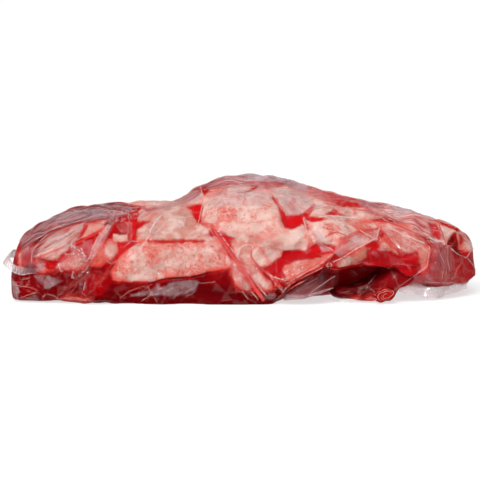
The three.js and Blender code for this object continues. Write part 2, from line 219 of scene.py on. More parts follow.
# %% Relief shared with the solid
LUMP_SIZE, LUMP_HEIGHT = 52, 1.8
GOLDEN_TURN = np.pi * (3 - 5**0.5)
# Pads: x, height, length, width, tilt, rise.
PADS = [
    (-186, 58, 25, 12, 22, 3), (-134, 55, 8, 15, -12, 3), (-77, 40, 60, 19, 9, 5), (-75, 79, 36, 13, 6, 3),
    (1, 92, 42, 29, 0, 4), (50, 101, 17, 11, -15, 3), (44, 66, 18, 10, 25, 3), (17, 46, 11, 8, -50, 3),
    (13, 29, 22, 6, -55, 3), (-9, 27, 18, 6, -70, 3), (82, 70, 20, 12, -10, 3), (59, 36, 38, 7, 27, 4),
    (114, 53, 26, 11, 5, 4), (209, 72, 18, 14, -35, 3)]
# Valleys and folds: x and height of both ends, depth or height, width.
VALLEYS = [
    (-138, 63, -25, 63, 3, 6), (-48, 96, -34, 82, 3, 6), (-34, 82, 19, 6, 4, 6), (29, 106, 42, 82, 4, 7),
    (42, 82, 62, 87, 3, 6), (27, 42, 57, 54, 4, 8), (57, 54, 85, 57, 4, 6), (-168, 69, -185, 42, 3, 6),
    (-140, 82, -155, 36, 3, 6), (-155, 36, -146, 4, 3, 7), (104, 64, 140, 48, 3, 7), (205, 72, 214, 54, 5, 7)]
FOLDS = [
    (-34, 84, 20, 5, 2.6, 7), (19, 10, 57, 31, 2.4, 7), (57, 31, 91, 52, 2.4, 7), (91, 52, 142, 78, 2, 7),
    (142, 78, 190, 88, 2, 7), (-196, 34, -158, 42, 2.2, 7), (-158, 42, -140, 80, 2.2, 7),
    (-218, 6, -165, 32, 2, 7), (178, 50, 160, 26, 2, 7), (185, 76, 228, 50, 2, 7)]


def lumps(p, size, waves=11):
    """Soft lumps: sine waves that run in evenly spread directions, summed and levelled."""
    total = 0
    for i in range(waves):
        z = 1 - (2 * i + 1) / waves
        flat, turn = (1 - z * z) ** 0.5, i * GOLDEN_TURN
        along = flat * np.cos(turn) * p[..., 0] + flat * np.sin(turn) * p[..., 1] + z * p[..., 2]
        total = total + np.sin(2 * np.pi * (0.75 + 0.5 * ((i * 0.618) % 1)) * along / size + 1.7 * i * i)
    return total / (waves / 2) ** 0.5


def near_line(a, b, x0, y0, x1, y1):
    """Distance from places (a, b) to a line piece, how far along it they are, and on which side."""
    dx, dy = x1 - x0, y1 - y0
    t = np.clip(((a - x0) * dx + (b - y0) * dy) / (dx * dx + dy * dy), 0, 1)
    side = np.sign((a - x0) * dy - (b - y0) * dx)
    return np.hypot(a - x0 - t * dx, b - y0 - t * dy), t, side


def front_relief(along, up):
    """Pads out, valleys in and folds out, each fading with the distance from its middle."""
    out = 0
    for x, h, length, width, tilt, rise in PADS:
        c, s = math.cos(math.radians(tilt)), math.sin(math.radians(tilt))
        u, v = (along - x) * c + (up - h) * s, (up - h) * c - (along - x) * s
        out = out + rise * (1 - ramp(0.7, 1.2, np.hypot(u / length, v / width)))
    for x0, h0, x1, h1, depth, width in VALLEYS:
        out = out - depth * np.exp(-((near_line(along, up, x0, h0, x1, h1)[0] / width) ** 2))
    for x0, h0, x1, h1, height, width in FOLDS:
        distance, t, _ = near_line(along, up, x0, h0, x1, h1)
        out = out + height * np.maximum(0, 1 - distance / width) * (0.6 + 0.4 * np.sin(np.pi * t))
    return out


on_plane = plain[..., 2] * math.cos(SIGHT_TILT) + (plain[..., 1] - FRONT_FOOT) * math.sin(SIGHT_TILT)
facing = normal @ np.array([0, -math.cos(SIGHT_TILT), math.sin(SIGHT_TILT)])
quiet = ramp(0, 12, np.minimum(plain[..., 0] - LEFT_END, RIGHT_END - plain[..., 0]))
on_front = ramp(0.05, 0.4, facing) * ramp(0, 6, plain[..., 2])
relief = LUMP_HEIGHT * lumps(plain, LUMP_SIZE) + 0.4 * LUMP_HEIGHT * lumps(plain, LUMP_SIZE / 2.3)
relief = quiet * (relief + 0.5 * on_front * front_relief(plain[..., 0], on_plane)) - LUMP_HEIGHT

# %% [markdown]
# The film of the real bag has a finer outline than the solid: it sags between its high points along
# the crest, and its foot on the viewer's side touches the floor in some places and not in others.

# %% Where the outline is trimmed, as (x, millimetres taken off)
CREST_TRIM = pairs(
    "-232,1 -215,4.5 -203,4.5 -190,1.5 -175,0 -128,0 -113,2.2 -100,1.5 -90,-1.5 -72,-1.5 -60,2 -45,2 -33,2.5 "
    "-18,0 22,1 50,-1 70,-1 90,-3 104,-1.5 130,0 160,-1 166,-2 180,1.5 198,3 210,2 232,-2")
UNDER_TRIM = pairs(
    "-160,0 -150,4.6 -138,3.5 -126,-2 -100,-3 -80,-2 -60,-3 -44,-4.5 -32,-7 -4,-6 10,-2 24,0 150,0 168,2 "
    "184,2.5 194,0 206,-3.5 220,-4 232,-2")
relief = relief - curve(CREST_TRIM, plain[..., 0]) * ramp(0.25, 0.8, normal[..., 2])
relief = relief - (curve(UNDER_TRIM, plain[..., 0]) * ramp(0.25, 0.8, -normal[..., 2])
                   * ramp(10, 30, -plain[..., 1]))
skin = plain + relief[..., None] * normal
print("relief of the solid from", round(relief.min(), 1), "to", round(relief.max(), 1), "mm")

# %% [markdown]
# ## Places on the front
# What shows on the front is laid out as it is seen: millimetres across from the left of the view
# and down from its top. The view is 480 mm wide and looks a little down. Each grid point is carried
# to that view once, and every patch and crease is then a plain 2-D shape.

# %% The view, and where each point is seen in it
VIEW_WIDTH = 480
VIEW_DISTANCE = 3200
VIEW_TILT = math.radians(7.4)
VIEW_MIDDLE = np.array([0.0, -20.0, 55.5])
VIEW_AHEAD = np.array([0, math.cos(VIEW_TILT), -math.sin(VIEW_TILT)])
VIEW_UP = np.array([0, math.sin(VIEW_TILT), math.cos(VIEW_TILT)])


def seen_at(points):
    """Places (across, down) in the view: the offset from its middle, times distance over depth."""
    offset = points + FRAME_SHIFT - VIEW_MIDDLE
    shrink = VIEW_DISTANCE / (VIEW_DISTANCE + offset @ VIEW_AHEAD)
    half = VIEW_WIDTH / 2
    return np.stack([half + shrink * offset[..., 0], half - shrink * (offset @ VIEW_UP)], axis=-1)


skin_normal = grid_normals(skin)
facing = -(skin_normal @ VIEW_AHEAD)
place = seen_at(skin)
faces_view = ramp(0.08, 0.22, facing)
front_points = np.flatnonzero(facing.ravel() > 0)
front_place = place.reshape(-1, 2)[front_points]
print(len(front_points), "points face the view")

# %% [markdown]
# ## Natural unevenness
# Raw meat and crumpled film are uneven at every size. Value noise gives that: a random number at
# each point of a lattice, smoothly blended between them, and summed at several sizes.


# %% Noise
def value_noise(p, seed=0):
    """Random lattice values from -1 to 1, blended by 3t^2 - 2t^3 along each axis."""
    p = np.asarray(p, float) + 1000.37
    cell = np.floor(p).astype(np.int64)
    t = p - cell
    t = t * t * (3 - 2 * t)
    total = np.zeros(p.shape[:-1])
    for corner in range(2 ** p.shape[-1]):
        key = np.full(p.shape[:-1], seed * 7919 + 12345, np.uint64)
        weight = np.ones(p.shape[:-1])
        for axis in range(p.shape[-1]):
            bit = (corner >> axis) & 1
            key = (key ^ (cell[..., axis] + bit).astype(np.uint64)) * np.uint64(0x9E3779B97F4A7C15)
            key = key ^ (key >> np.uint64(29))
            weight = weight * (t[..., axis] if bit else 1 - t[..., axis])
        total += weight * ((key >> np.uint64(40)).astype(float) / 2**23 - 1)
    return total


def uneven(p, size, octaves=3, seed=0):
    """Sum of noises, each half as large and half as strong as the one before."""
    total = 0
    for i in range(octaves):
        total = total + value_noise(np.asarray(p) * (2**i / size), seed + i) / 2**i
    return total / 1.6


# %% [markdown]
# ## Where the fat, the juice and the veils lie
# On the front of this cut the fat lies in pads with ragged edges, juice fills the pockets between them, and
# some facets of the film catch the light as pale veils, which are partly milky film and partly a painted
# reflection of the lights. Each is a polygon in the view. The mesh keeps how far inside a polygon each point
# lies, and the material cuts it off at 0. So an edge stays crisp however close it is looked at, and can be
# frayed with noise.


# %% How far inside a polygon a place lies
REACH = 14.0  # depths are measured this far from an edge


def inside_by(where, corners):
    """Distance to the polygon's edge, above 0 inside it and below 0 outside, at most REACH."""
    a = np.array(corners, float)
    result = np.full(len(where), -REACH)
    near = np.flatnonzero(((where > a.min(0) - REACH) & (where < a.max(0) + REACH)).all(axis=1))
    x, y = where[near].T
    nearest, inside = np.full(len(near), REACH), np.zeros(len(near), bool)
    for (x0, y0), (x1, y1) in zip(a, np.roll(a, -1, axis=0)):
        nearest = np.minimum(nearest, near_line(x, y, x0, y0, x1, y1)[0])
        crosses = (y0 > y) != (y1 > y)
        inside ^= crosses & (x < (x1 - x0) * (y - y0) / (y1 - y0 if y1 != y0 else 1) + x0)
    result[near] = np.where(inside, nearest, -nearest)
    return result


def lay_out(layers, where, blend=1.5):
    """The union of patches and their values. A patch is (values..., corners). The union's depth is
    the largest depth of any patch, and a value is the mean of the patches', weighted by exp(depth)."""
    depth = np.full(len(where), -REACH)
    values, weights = 0, 1e-9
    for *value, corners in layers:
        d = inside_by(where, corners)
        depth = np.maximum(depth, d)
        weight = np.exp(np.clip(d, -REACH, 2) / blend)
        values = values + weight[:, None] * np.array(value, float)
        weights = weights + weight
    return depth, values / np.asarray(weights)[:, None]


# %% [markdown]
# A patch is one line of text: its values, a colon and its corners as pairs. A value of .5 is 0.5. A
# line that starts with a space belongs to the one above.


# %% Read patches
def patches(text):
    """Tuples of values that end in a list of places, from text with one of them to a line."""
    made = []
    for line in text.strip().replace("\n ", " ").splitlines():
        values, places = line.split(":")
        made.append((*(float(value) for value in values.split()), pairs(places)))
    return made


# %% [markdown]
# Fat is what makes this side of the cut pale. It lies in pads, some creamy white, some tan where it is thin
# or dry. A creaminess of 0 is tan and 1 is nearly white, and the stain says how much juice has soaked in.
# Some pads on the right, which turn away from the light, get less creaminess and more stain as painted shade.

# %% Pads of fat: creaminess, stain, corners
FAT = patches("""
.75 .1: 36,262 37,254 40,246 48,236 62,230 78,225 83,223 80,232 76,239 71,244 68,250 62,256 58,259 48,260
 41,257 38,258 37,263
.55 .25: 87,225 99,222 108,221 104,228 94,233 86,238 83,238 86,232
.2 1.3: 37,264 46,262 55,264 54,271 40,273
.4 .9: 54,268 56,263 62,260 70,256 74,251 79,254 85,261 88,264 82,268 76,271 68,269
.9 .1: 114,242 114,236 119,234 127,234 127,241 120,242
0 1.5: 97,240 103,243 105,254 106,260 100,265 93,264 93,256
.55 .3: 104,245 110,241 117,244 119,250 117,257 112,260 107,258 104,252
.8 .1: 119,226 124,220 128,222 127,231 121,232
.42 .2: 137,241 138,230 144,226 149,219 158,209 172,205 186,205 191,209 193,216 197,224 205,227 209,229
 210,234 215,240 200,242 160,242
.75 .1: 160,205 178,202 192,195 203,188 203,203 188,206 172,208
1 0: 128,204 138,200.5 150,199 168,200 174,203 160,205.5 140,206
.6 .2: 139,223 141,210 146,214 158,210 151,219 144,227
.95 0: 157,215 168,211 176,214 176,224 168,228 159,226
.72 .28: 114,269 116,262 119,256 127,249 137,243 150,241 165,241 185,241 205,241 218,240 222,250 227,257
 232,264 230,268 215,270 205,271 200,273.5 190,276 180,276 170,277 160,279 150,281 140,281 128,280 120,281
 115,279 113,274
.95 .27: 204,196 206,187 222,183 240,183 250,187 262,188 271,192 275,199 279,206 281,214 281,222 284,228
 291,229 280,233 268,237 258,238 250,236 240,233 230,231 222,231 214,227 206,225 203,222 202,212 203,202
.7 .15: 270,190 285,187 300,190 318,198 332,203 318,206 310,208 306,212 300,213 288,216 284,210 278,202
 272,196
.95 0: 264,240 285,232 300,226 304,227 306,236 308,241 306,248 302,250 297,250 290,249 284,250 282,245
 276,242
.6 .15: 222,230 232,230 243,233 255,238 266,241 283,245 282,250 275,250 262,246 250,243 238,244 230,239
 224,235
.6 .5: 306,232 312,230 317,238 316,243 310,246 307,240
.95 .05: 251,250 258,247 262,252 266,258 267,264 264,267 258,266 253,262 251,256
.5 .3: 262,247 272,249 281,251 279,257 274,260 270,264 266,256
.5 .3: 231,244 240,243 252,244 252,250 250,260 245,262 238,256
.4 .25: 230,262 236,259 243,273 250,287 247,290 240,288 236,285 232,273
.45 .3: 242,260 250,262 256,268 262,276 270,284 272,289 267,291 261,288 255,280 248,270
.1 .75: 284,264 295,260 310,257 322,254 331,253 331,256 327,260 318,265 308,271 298,276 290,280 284,280
 283,272
1 .05: 308,222 314,220 321,220 335,219 346,221 352,226 358,230 352,236 345,238 340,242 335,247.5 327,247
 320,241 316,236 312,230
.65 .2: 309,216 312,209 318,204 332,203 340,208 330,212 320,218
.8 .1: 318,218 330,215 345,216 357,214 352,207 360,207 372,212 378,217 372,219 358,220 340,219
.55 .45: 338,210 347,208 358,210 356,215 346,217 340,214
.35 .7: 346,221 358,220 373,222.5 392,224.5 410,225 428,231 430,236 415,233 400,228.5 384,226 379,229
 366,230 358,230
0 .1: 338,262 345,257 355,252 365,247 373,245 375,250 370,254 366,258 358,262 352,266 345,269 338,269
.1 .6: 336,252 345,243 358,232 372,230 379,230 376,239 365,246 350,252
.22 .55: 380,227 390,225 402,229 414,236 424,243 428,247 416,250 408,253 402,253 394,247 387,240 382,234
.15 .9: 379,232 383,236 392,247 400,252 398,256 388,254 380,250
.7 .35: 385,233 395,233 401,241 393,244
.3 .6: 417,250 426,245 430,250 428,258 428,267 423,271 419,268 421,258
.9 .1: 437,222 444,221 450,225 456,229 457,233 451,238 447,243 444,245 441,239 438,230
.75 .35: 458,230 466,232 471,238 475,245 474,251 467,252 461,250 458,244
1 0: 456,231 459,231 460.5,250 458,250
.8 .2: 376,217 374,209 385,206 400,208 425,216 437,223 430,225 410,221 392,217
.2 .1: 62,299 68,296 80,297 90,300 80,301
.2 .2: 18,268 18,252 21,252 21,268
""")

# %% [markdown]
# Juice runs into every pocket between the pads. A thin layer is bright red, and a deep one is dark. The
# darkest patches, in small holes and in the hollow at the right end, are deep juice and painted shade
# together.

# %% Juice: how deep it is, corners
JUICE = patches("""
.35: 71,246 75,242 88,237 98,232 101,236 95,243 88,246 82,243 76,248
.3: 57,260 60,255 68,251 67,257 61,262
.4: 39,261 50,261 60,262 57,266 54,270 48,270 43,266
.2: 85,226 87.5,225 85.5,231 83,235 81,238
.95: 96,272 106,266 113,262 118,259 112,268 106,280 96,291 88,297 80,293 84,280 89,270
1: 448,240 452,234 456,231 457,240 458,247 461,254 456,254 450,249 446,246
.15: 128,241 128,230 130,221 134,217 137,221 137,230 136,241
.2: 118,243 128,242 139,242 128,249 120,256 115,263 110,269 106,277 102,280 110,262 118,253
.35: 112,228 116,222 124,219 131,218 129,226 129,233 122,234 114,233
.1: 187,207 202,204 203,208 201,218 198,225 194,216 191,210
.3: 136,221 150,221 142,226 137,229
.3: 209,230 212,227 216,233 213,237 209,236
.2: 223,232 228,236 236,238 234,240 229,240 232,249 228,249 221,238
.15: 270,195 276,199 281,206 284,212 287,215 302,215 303,222 300,226 292,230 285,228 282,222 280,214 278,206
 274,201
.1: 303,214 308,209 313,206 312,211 309,216 320,217 328,219 320,221 312,222 306,219
.45: 281,257 285,251 292,250 300,250 308,252 320,254 321,257 310,259 298,261 286,264 282,268 284,274 286,280
 278,278 270,273 264,271 260,267 268,266 272,262
.2: 306,252 311,247 315,244 318,248 321,254 313,254
.15: 318,242 326,245 336,246 334,251 322,254
.3: 238,193 248,190 255,185 262,184 270,184.5 268,185.5 260,186.5 256,189 250,192
.6: 367,249 375,241 380,251 392,251 400,256 410,262 418,260 420,266 408,268 390,268 372,268 362,266 358,262
 366,258
.25: 366,246 374,241 378,246 379,252 372,250
.3: 396,249 404,254 412,253 418,251 419,258 414,262 406,259 400,257
.25: 427,223 437,222 439,228 442,235 441,239 434,239 431,234 430,228
.2: 439,224 443,217 451,217 461,228 456,230 450,228 445,226
.35: 459.5,235 463,236 464,240 461.5,244 460,244
.25: 148,240.6 165,239.8 190,239.6 204,240.2 204,242 190,242.4 165,242.6 148,242
.4: 374,218 385,217 392,219 400,220 408,221 400,223 385,222 374,221
.2: 336,201 345,200.5 355,202 364,206 359,208 350,206 342,205
.45: 198,187 208,186 209,191 205,195 199,192
.1: 326,214 333,209 338,213 346,216 335,216
.3: 378,235 380,229 384,234 382,238
.5: 318,182 334,186 352,192 372,199 376,204 352,200 334,196 318,190
.9: 103,226 106,221 110,220 110,227 106,230
.9: 115,232 116,224 121,221 122,230 128,231 128,234 119,235
""")

# Between the pads of this outline, juice fills every gap.
BETWEEN_PADS = pairs(
    "76,224 100,214 140,206 200,186 250,178 300,184 380,208 440,220 446,245 432,262 400,268 340,267 "
    "318,268 290,283 262,293 236,290 232,268 205,274 150,283 112,283 100,296 84,296 80,268 70,246")

# %% [markdown]
# Where juice has soaked into the fat it leaves pink and red stains, and along some edges the fat has no rim
# at all: it melts into the juice over several millimetres. A few stains are painted shade, such as the one on
# the shaded right end of the big lower pad.

# %% Stains on the fat: strength, corners; and melts: width in millimetres, corners
STAINS = patches("""
1: 138,244 150,242 160,243 161,252 157,264 150,266 145,256 139,250
.7: 198,254 206,254 206,260 198,260
1: 160,271 188,266 204,262 208,272 164,280
1: 210,247 224,248 228,262 210,262
1.2: 218,207 236,208 236,222 218,223
1: 136,240 205,240 206,247 190,250 160,249 138,247
1.6: 204,186 228,186 226,194 206,197
.9: 114,262 124,254 134,252 134,272 120,276
1.2: 441,219 450,219 458,227 446,226
1: 232,266 244,264 250,284 240,288
.9: 204,266 212,262 234,260 232,272 206,275
1.2: 111,270 116,258 127,249 131,252 122,264 116,276
1: 330,236 344,236 344,243 330,243
.8: 246,210 256,210 258,220 246,221
.7: 204,222 222,224 222,230 206,228
.9: 288,196 296,196 296,211 290,211
.9: 300,202 307,202 307,209 300,209
1: 326,224 340,223 342,231 325,232
1: 324,234 334,231 341,234 330,238
.9: 460,234 466,236 466,248 460,247
.6: 222,195 250,193 250,199 222,200
.4: 268,248 283,248 280,255 268,254
.7: 112,272 128,276 128,282 112,281
""")
MELTS = patches("""
5: 332,268 332,244 350,228 380,226 428,240 432,262 400,272 360,270
5: 88,282 90,250 96,238 112,238 121,248 114,266 104,284
3: 30,264 30,240 60,226 100,220 104,240 88,262 60,272
3: 228,292 224,262 240,244 262,258 276,292
4: 284,280 284,262 331,250 331,260 296,280
2.5: 128,286 128,272 168,270 168,286
""")

# %% [markdown]
# Bare lean is a deep red that is nearly brown in the shade. Where light gets through it, it glows. Its glow
# is painted light and shade: the lean is painted lighter where light falls on it and where it gets through,
# darker in hollows and in shade, and redder between the pads.

# %% Lean that shows lighter or redder than the rest, by painted light and by its colour: glow, corners
LEAN_GLOW = patches("""
.38: 12,276 42,275 42,288 30,300 18,300 12,290
.7: 16,234 34,230 34,262 16,268
.25: 42,270 86,270 80,300 40,300
.18: 80,270 101,270 94,292 80,298
.35: 112,280 160,282 160,287 118,290
.36: 206,272 236,268 238,284 216,286 206,280
.12: 250,285 290,284 286,300 262,303
.65: 430,245 476,250 474,285 430,284
.8: 453,258 474,264 474,282 453,284
.95: 398,268 432,268 420,286 398,286
.05: 446,232 458,230 459,248 452,252 446,244
""")

# %% [markdown]
# A veil is a facet of film that is tilted towards the light and hides what lies under it. Its pale colour is
# partly milky film and partly a painted reflection of the lights.

# %% Pale veils on the film, partly a painted reflection: strength, corners
VEILS = patches("""
.35: 206,195 230,189 262,191 272,199 262,207 236,206 208,207
.1: 26,233 40,218 50,214 52,224 40,231 30,238
.55: 58,217 60,212 70,210 130,211 128,217 100,217 86,220 66,224 52,228
.8: 72,213 80,210 100,209 118,211 131,214 118,216 96,215 84,214
.12: 20,236 32,234 30,248 34,258 20,264 23,250
.7: 71,247 74,244 80,249 86,256 88,261 82,261 78,256 73,258 70,253
.45: 45,288 43,282 47,275 55,277 65,280 58,284 50,288
.6: 12,279 17,284 20,291 18,300 14,294 11,286
.4: 22,299 35,293 39,297 38,301 24,301
.3: 34,275 46,274 42,285 37,280
.2: 55,268 62,260 72,252 78,254 86,262 80,270 66,270
.5: 141,209 144,216 138,221 140,214
.5: 143,208 151,213 165,210 172,207 160,207 150,209
.35: 98,240 105,228 110,228 104,240 98,252 93,258 91,252
.36: 124,298 134,294 148,289.5 155,287 158,283 160,287 165,285 172,282 185,280 195,279 198,283 196,288
 190,292 182,296 170,296 150,295 130,296
.4: 272,192 285,188 300,192 316,200 310,208 300,213 288,216 282,206
.5: 206,190 212,182 224,176 250,174 272,177 290,183 275,182 250,181 228,184
.35: 262,297 270,293 277,294 275,300 266,300
.4: 335,252 343,243 352,236 358,232 363,238 360,246 350,250 340,257
.15: 360,232 372,232 379,229 376,238 370,240 365,244
1: 384,198 400,199 415,203 434,211 433,220 415,215 400,210.5 387,207
.8: 246,166 262,167 282,170 282,178 262,177 246,175.5
.6: 427,236 434,239 441,239 439,245 431,243
.2: 20,250 36,249 34,268 19,268
.4: 36,263 46,263 46,270 36,271
.5: 285,183 300,184 312,190 300,193 288,189
.5: 356,201 372,203 380,208 368,209 358,207
.45: 361,208 374,207 377,214 364,215
.7: 258,175 290,177 290,184 258,183
.4: 258,184 276,184 278,191 258,190
.3: 120,224 131,222 131,234 120,234
.3: 109,218 119,216 118,226 109,226
.4: 316,241 322,252 334,251 330,246 322,243
.2: 75,249 83,243 92,240 93,246 88,256 80,254
.42: 431,246 441,247 442,262 438,280 431,279 430,262
.03: 430,246 440,244 462,256 474,270 470,284 440,284 430,276
.35: 442,248 446,252 448,262 444,276 441,268 442,258
.25: 402,276 430,274 460,276 456,284 404,285
.5: 150,232 152,226 158,219 162,218 156,226 153,236
.6: 312,232 318,231 322,234 324,240 318,238
.45: 300,213 310,209 318,204 324,206 318,211 310,215
""")

# %% [markdown]
# ## Creases of the film
# Where the bag was drawn together its film folded on itself. A crease shows as a thin line: white where it
# catches the light, which is a painted highlight, and red where juice lies under it. Some dark lines are
# painted shade, such as those under the lower edge of the big lower pad. Each is a chain of places with a
# tone (1 white, 0 red, -1 dark), a strength, a half width and how far it stands up.

# %% Creases: tone, strength, half width, rise, places
CREASES = patches("""
.9 .7 .35 .5: 70,244 76,250 82,253 88,259
.7 .5 .8 1: 108,226 98,239 92,250 88,260
.8 .5 .5 .5: 110,227 102,239 95,251 90,262 84,272
.2 .3 .5 .5: 90,258 82,270 72,283 62,294
.2 .25 1 .8: 86,273 79,279.5 72,286 67,290
.85 .4 .25 .3: 84,271 76,278 67,286 58,296
.6 .25 .25 .3: 88,274 80,282 72,290 64,297
.6 .3 .3 .3: 117,264 108,272 98,284 89,295
.5 .25 .3 .3: 113,262 103,275 92,290
.05 .8 1.5 .4: 74,245.5 84,240.5 94,235.5 104,229
.85 .5 .35 .3: 72,243 83,237.5 93,232.5 103,226
.8 .5 .3 .3: 86,222 82,231 77,239 71,245
.8 .5 .3 .3: 89,223 87,230 84,238
.5 .2 .4 .4: 96,262 88,273 77,285 66,298
-1 1 .9 0: 150,283 157,281 163,279 170,278 185,277 195,276 203,274 210,272
-1 .5 .5 0: 112,285 125,283 138,284 150,284
.1 .35 .6 .5: 118,262 108,273 98,284 88,295 82,300
.1 .3 .5 .4: 113,268 103,280 93,291
.6 .5 .5 .4: 15,284 20,286 27,287
.6 .5 .5 .4: 22,297 30,294 38,292
.2 .6 .5 .4: 27,287 30,276
.2 .6 .5 .4: 27,287 38,290
.6 .6 .5 .4: 43,297 47,293 55,296 61,300
.9 .5 .28 .4: 85,282 83.5,291
.6 .4 .28 .4: 87,281 86.5,294
.7 .3 .28 .4: 79,281 82,292 89,299
.5 .5 .6 .5: 120,298 128,292 140,287 152,284
.3 .6 .8 .5: 138,208 132,216 128,224 127,240
.9 .5 .5 .6: 141,207 146,213 138,220
.9 .45 .5 .6: 146,213 150,214 165,211 182,208
.9 .5 .9 .6: 150,239 151,231 156,222 162,216
.9 .4 .8 .4: 157,233 165,225
.4 .5 .6 .4: 131,222 131,240
.8 .45 .5 .4: 125,247 131,242 139,242
.6 .6 .6 .4: 104,250 106,260 112,264 117,261
.7 .6 .8 .7: 201,188 204,200 202,212 198,225
.2 .7 .7 .5: 200,225 211,224.5 217,230 226,234
.9 .5 .7 .3: 208,238.5 217,238
.2 .75 2.6 .9: 212,226 219,237 226,248 237,263 248,278 256,290 263,299
.7 .6 .45 .2: 209,228 216,239 223,250.5 233.5,266 244.5,281 252,292 258,299
.85 .65 .45 .2: 214,224.5 221.5,235 229,246 240.5,261 251.5,276 260,288 267,296
.8 .6 .8 .3: 112,204 124,203 140,201.5 155,201 168,201.5
.7 .5 .5 .2: 381,229 390,236 398,246 402,252
.7 .5 .5 .2: 383,228 396,236 406,245 412,252
.8 .5 .5 .2: 386,227 400,233 414,242 420,248
.6 .5 .5 .2: 400,229 412,234 426,244
.6 .6 .5 .2: 447,247 446,258 449,270
.1 .7 1 .2: 450,250 452,262 455,276
.7 .5 .6 .2: 32,262 33,252 38,244 47,236
.7 .5 .6 .2: 40,251 50,243 62,236 74,231
.9 .5 .5 .2: 38,256 48,249 60,241 72,236
.3 .5 .6 .2: 36,248 46,240 58,233 70,228
.3 .4 .5 .2: 44,256 54,249 66,242 76,236
.8 .4 .5 .2: 37,240 50,232 64,226 80,221
.9 .6 .6 .8: 238,256 240,249 244,245.5 250,244.5 256,247
.7 .5 .6 .4: 246,249 250,256 251,263
.1 .8 .9 .6: 251,250 251,258 254,262 262,270 272,278 280,287
.7 .6 .6 .4: 262,270 270,277 277,285 283,291
.7 .5 .6 .4: 261,249 267,256 271,264
.8 .6 .6 .4: 223,233 226,228.5 229,229
.9 .55 .5 .6: 265,273 275,278 284,280 290,277
.85 .7 .7 .6: 283,291 290,284 300,277.5 312,272 321,267
.05 .8 .9 .8: 286,287 296,279.5 308,273 318,267 327,260
.7 .6 .6 .4: 286,283 296,277 308,271 318,265 331,255
.5 .6 .6 .5: 284,291 276,279 268,273
.6 .6 .6 .5: 284,291 278,299
.6 .5 .5 .4: 284,291 288,284 294,279
.6 .5 .6 .4: 246,285 252,293 258,299
.7 .6 .6 .4: 243,292 247,298
.8 .5 .6 .4: 271,195 277,202 281,209 286,216
.6 .7 .7 .6: 303,217 307,224 312,233 317,240 325,245.5 334,251
.75 .7 .8 .6: 303,219 306,229 308.5,240 306,251
.9 .7 .8 .5: 318,218 330,216.5 345,217.5 360,219
0 .7 .7 .4: 325,237 330,234 337,233 345,236
0 .6 .7 .3: 323,228 328,230 333,230
0 .6 .6 .3: 344,227 348,229
.3 .7 .7 .6: 331,257 340,246 350,239 359,231
.85 .7 .6 .5: 333,262 343,257 353,251 362,246 370,242 376,239
.85 .6 .6 .4: 360,231 368,236 376,240
.9 .7 .6 .4: 376,239 378,233 380,229
.1 .7 .8 .5: 383,232 390,241 397,248 404,253
.8 .5 .7 .4: 381,227 395,231 410,238 424,244
.8 .5 .6 .4: 382,225 398,228 415,236
.2 .6 .8 .6: 370,220 385,223 400,227 415,234 430,245
.8 .7 1.3 .8: 423,234 429,239 437,242 444,242
.1 .7 .8 .5: 437,219 440,229 443,239 446,245
.85 .6 .4 .5: 444,244 450,249 457,254.5 466,257.5
.85 .6 .4 .5: 466,257 471,264 475,271
.7 .6 .7 .4: 466,257 470,251 475,246
.75 .7 .6 .9: 429,247 428,258 427,266 421,271 416,274
.6 .5 .4 .3: 464,258 458,268 451,280
.7 .5 .4 .4: 424,281 440,282.5 462,283
.2 .6 .6 .3: 428,278 445,277 463,279
.6 .5 .6 .4: 418,250 421,260 420,269
.6 .5 .6 .4: 458,266 454,276 445,286
.6 .5 .6 .4: 437,247 441,258 443,262
.7 .7 .7 .4: 326,265 329,262 332,265 329,268 326,265
""")

# %% [markdown]
# Besides the long creases there are many short ones. An outline is strewn with bent folds at random,
# from a fixed seed, so that every run gives the same ones.


# %% Short folds where the film is crumpled
def crumple(count, length, bearing, spread, tone_low, tone_high, weakest, strongest, corners, seed):
    """Short bent folds at random places inside an outline, at a bearing give or take a spread.
    Each is three places: its middle and two ends half a length away, with the middle pushed aside."""
    random = np.random.default_rng(seed)
    low, high = np.min(corners, axis=0), np.max(corners, axis=0)
    made = []
    while len(made) < count:
        middle = random.uniform(low, high)
        if inside_by(middle[None], corners)[0] <= 0:
            continue
        turn = math.radians(bearing + random.uniform(-spread, spread))
        way = np.array([math.cos(turn), math.sin(turn)])
        half = 0.5 * length * random.uniform(0.5, 1.3)
        bend = 0.22 * half * random.uniform(-1, 1) * np.array([-way[1], way[0]])
        made.append((random.uniform(tone_low, tone_high), random.uniform(weakest, strongest),
                     random.uniform(0.2, 0.45), 0.4,
                     [tuple(middle - half * way), tuple(middle + bend), tuple(middle + half * way)]))
    return made


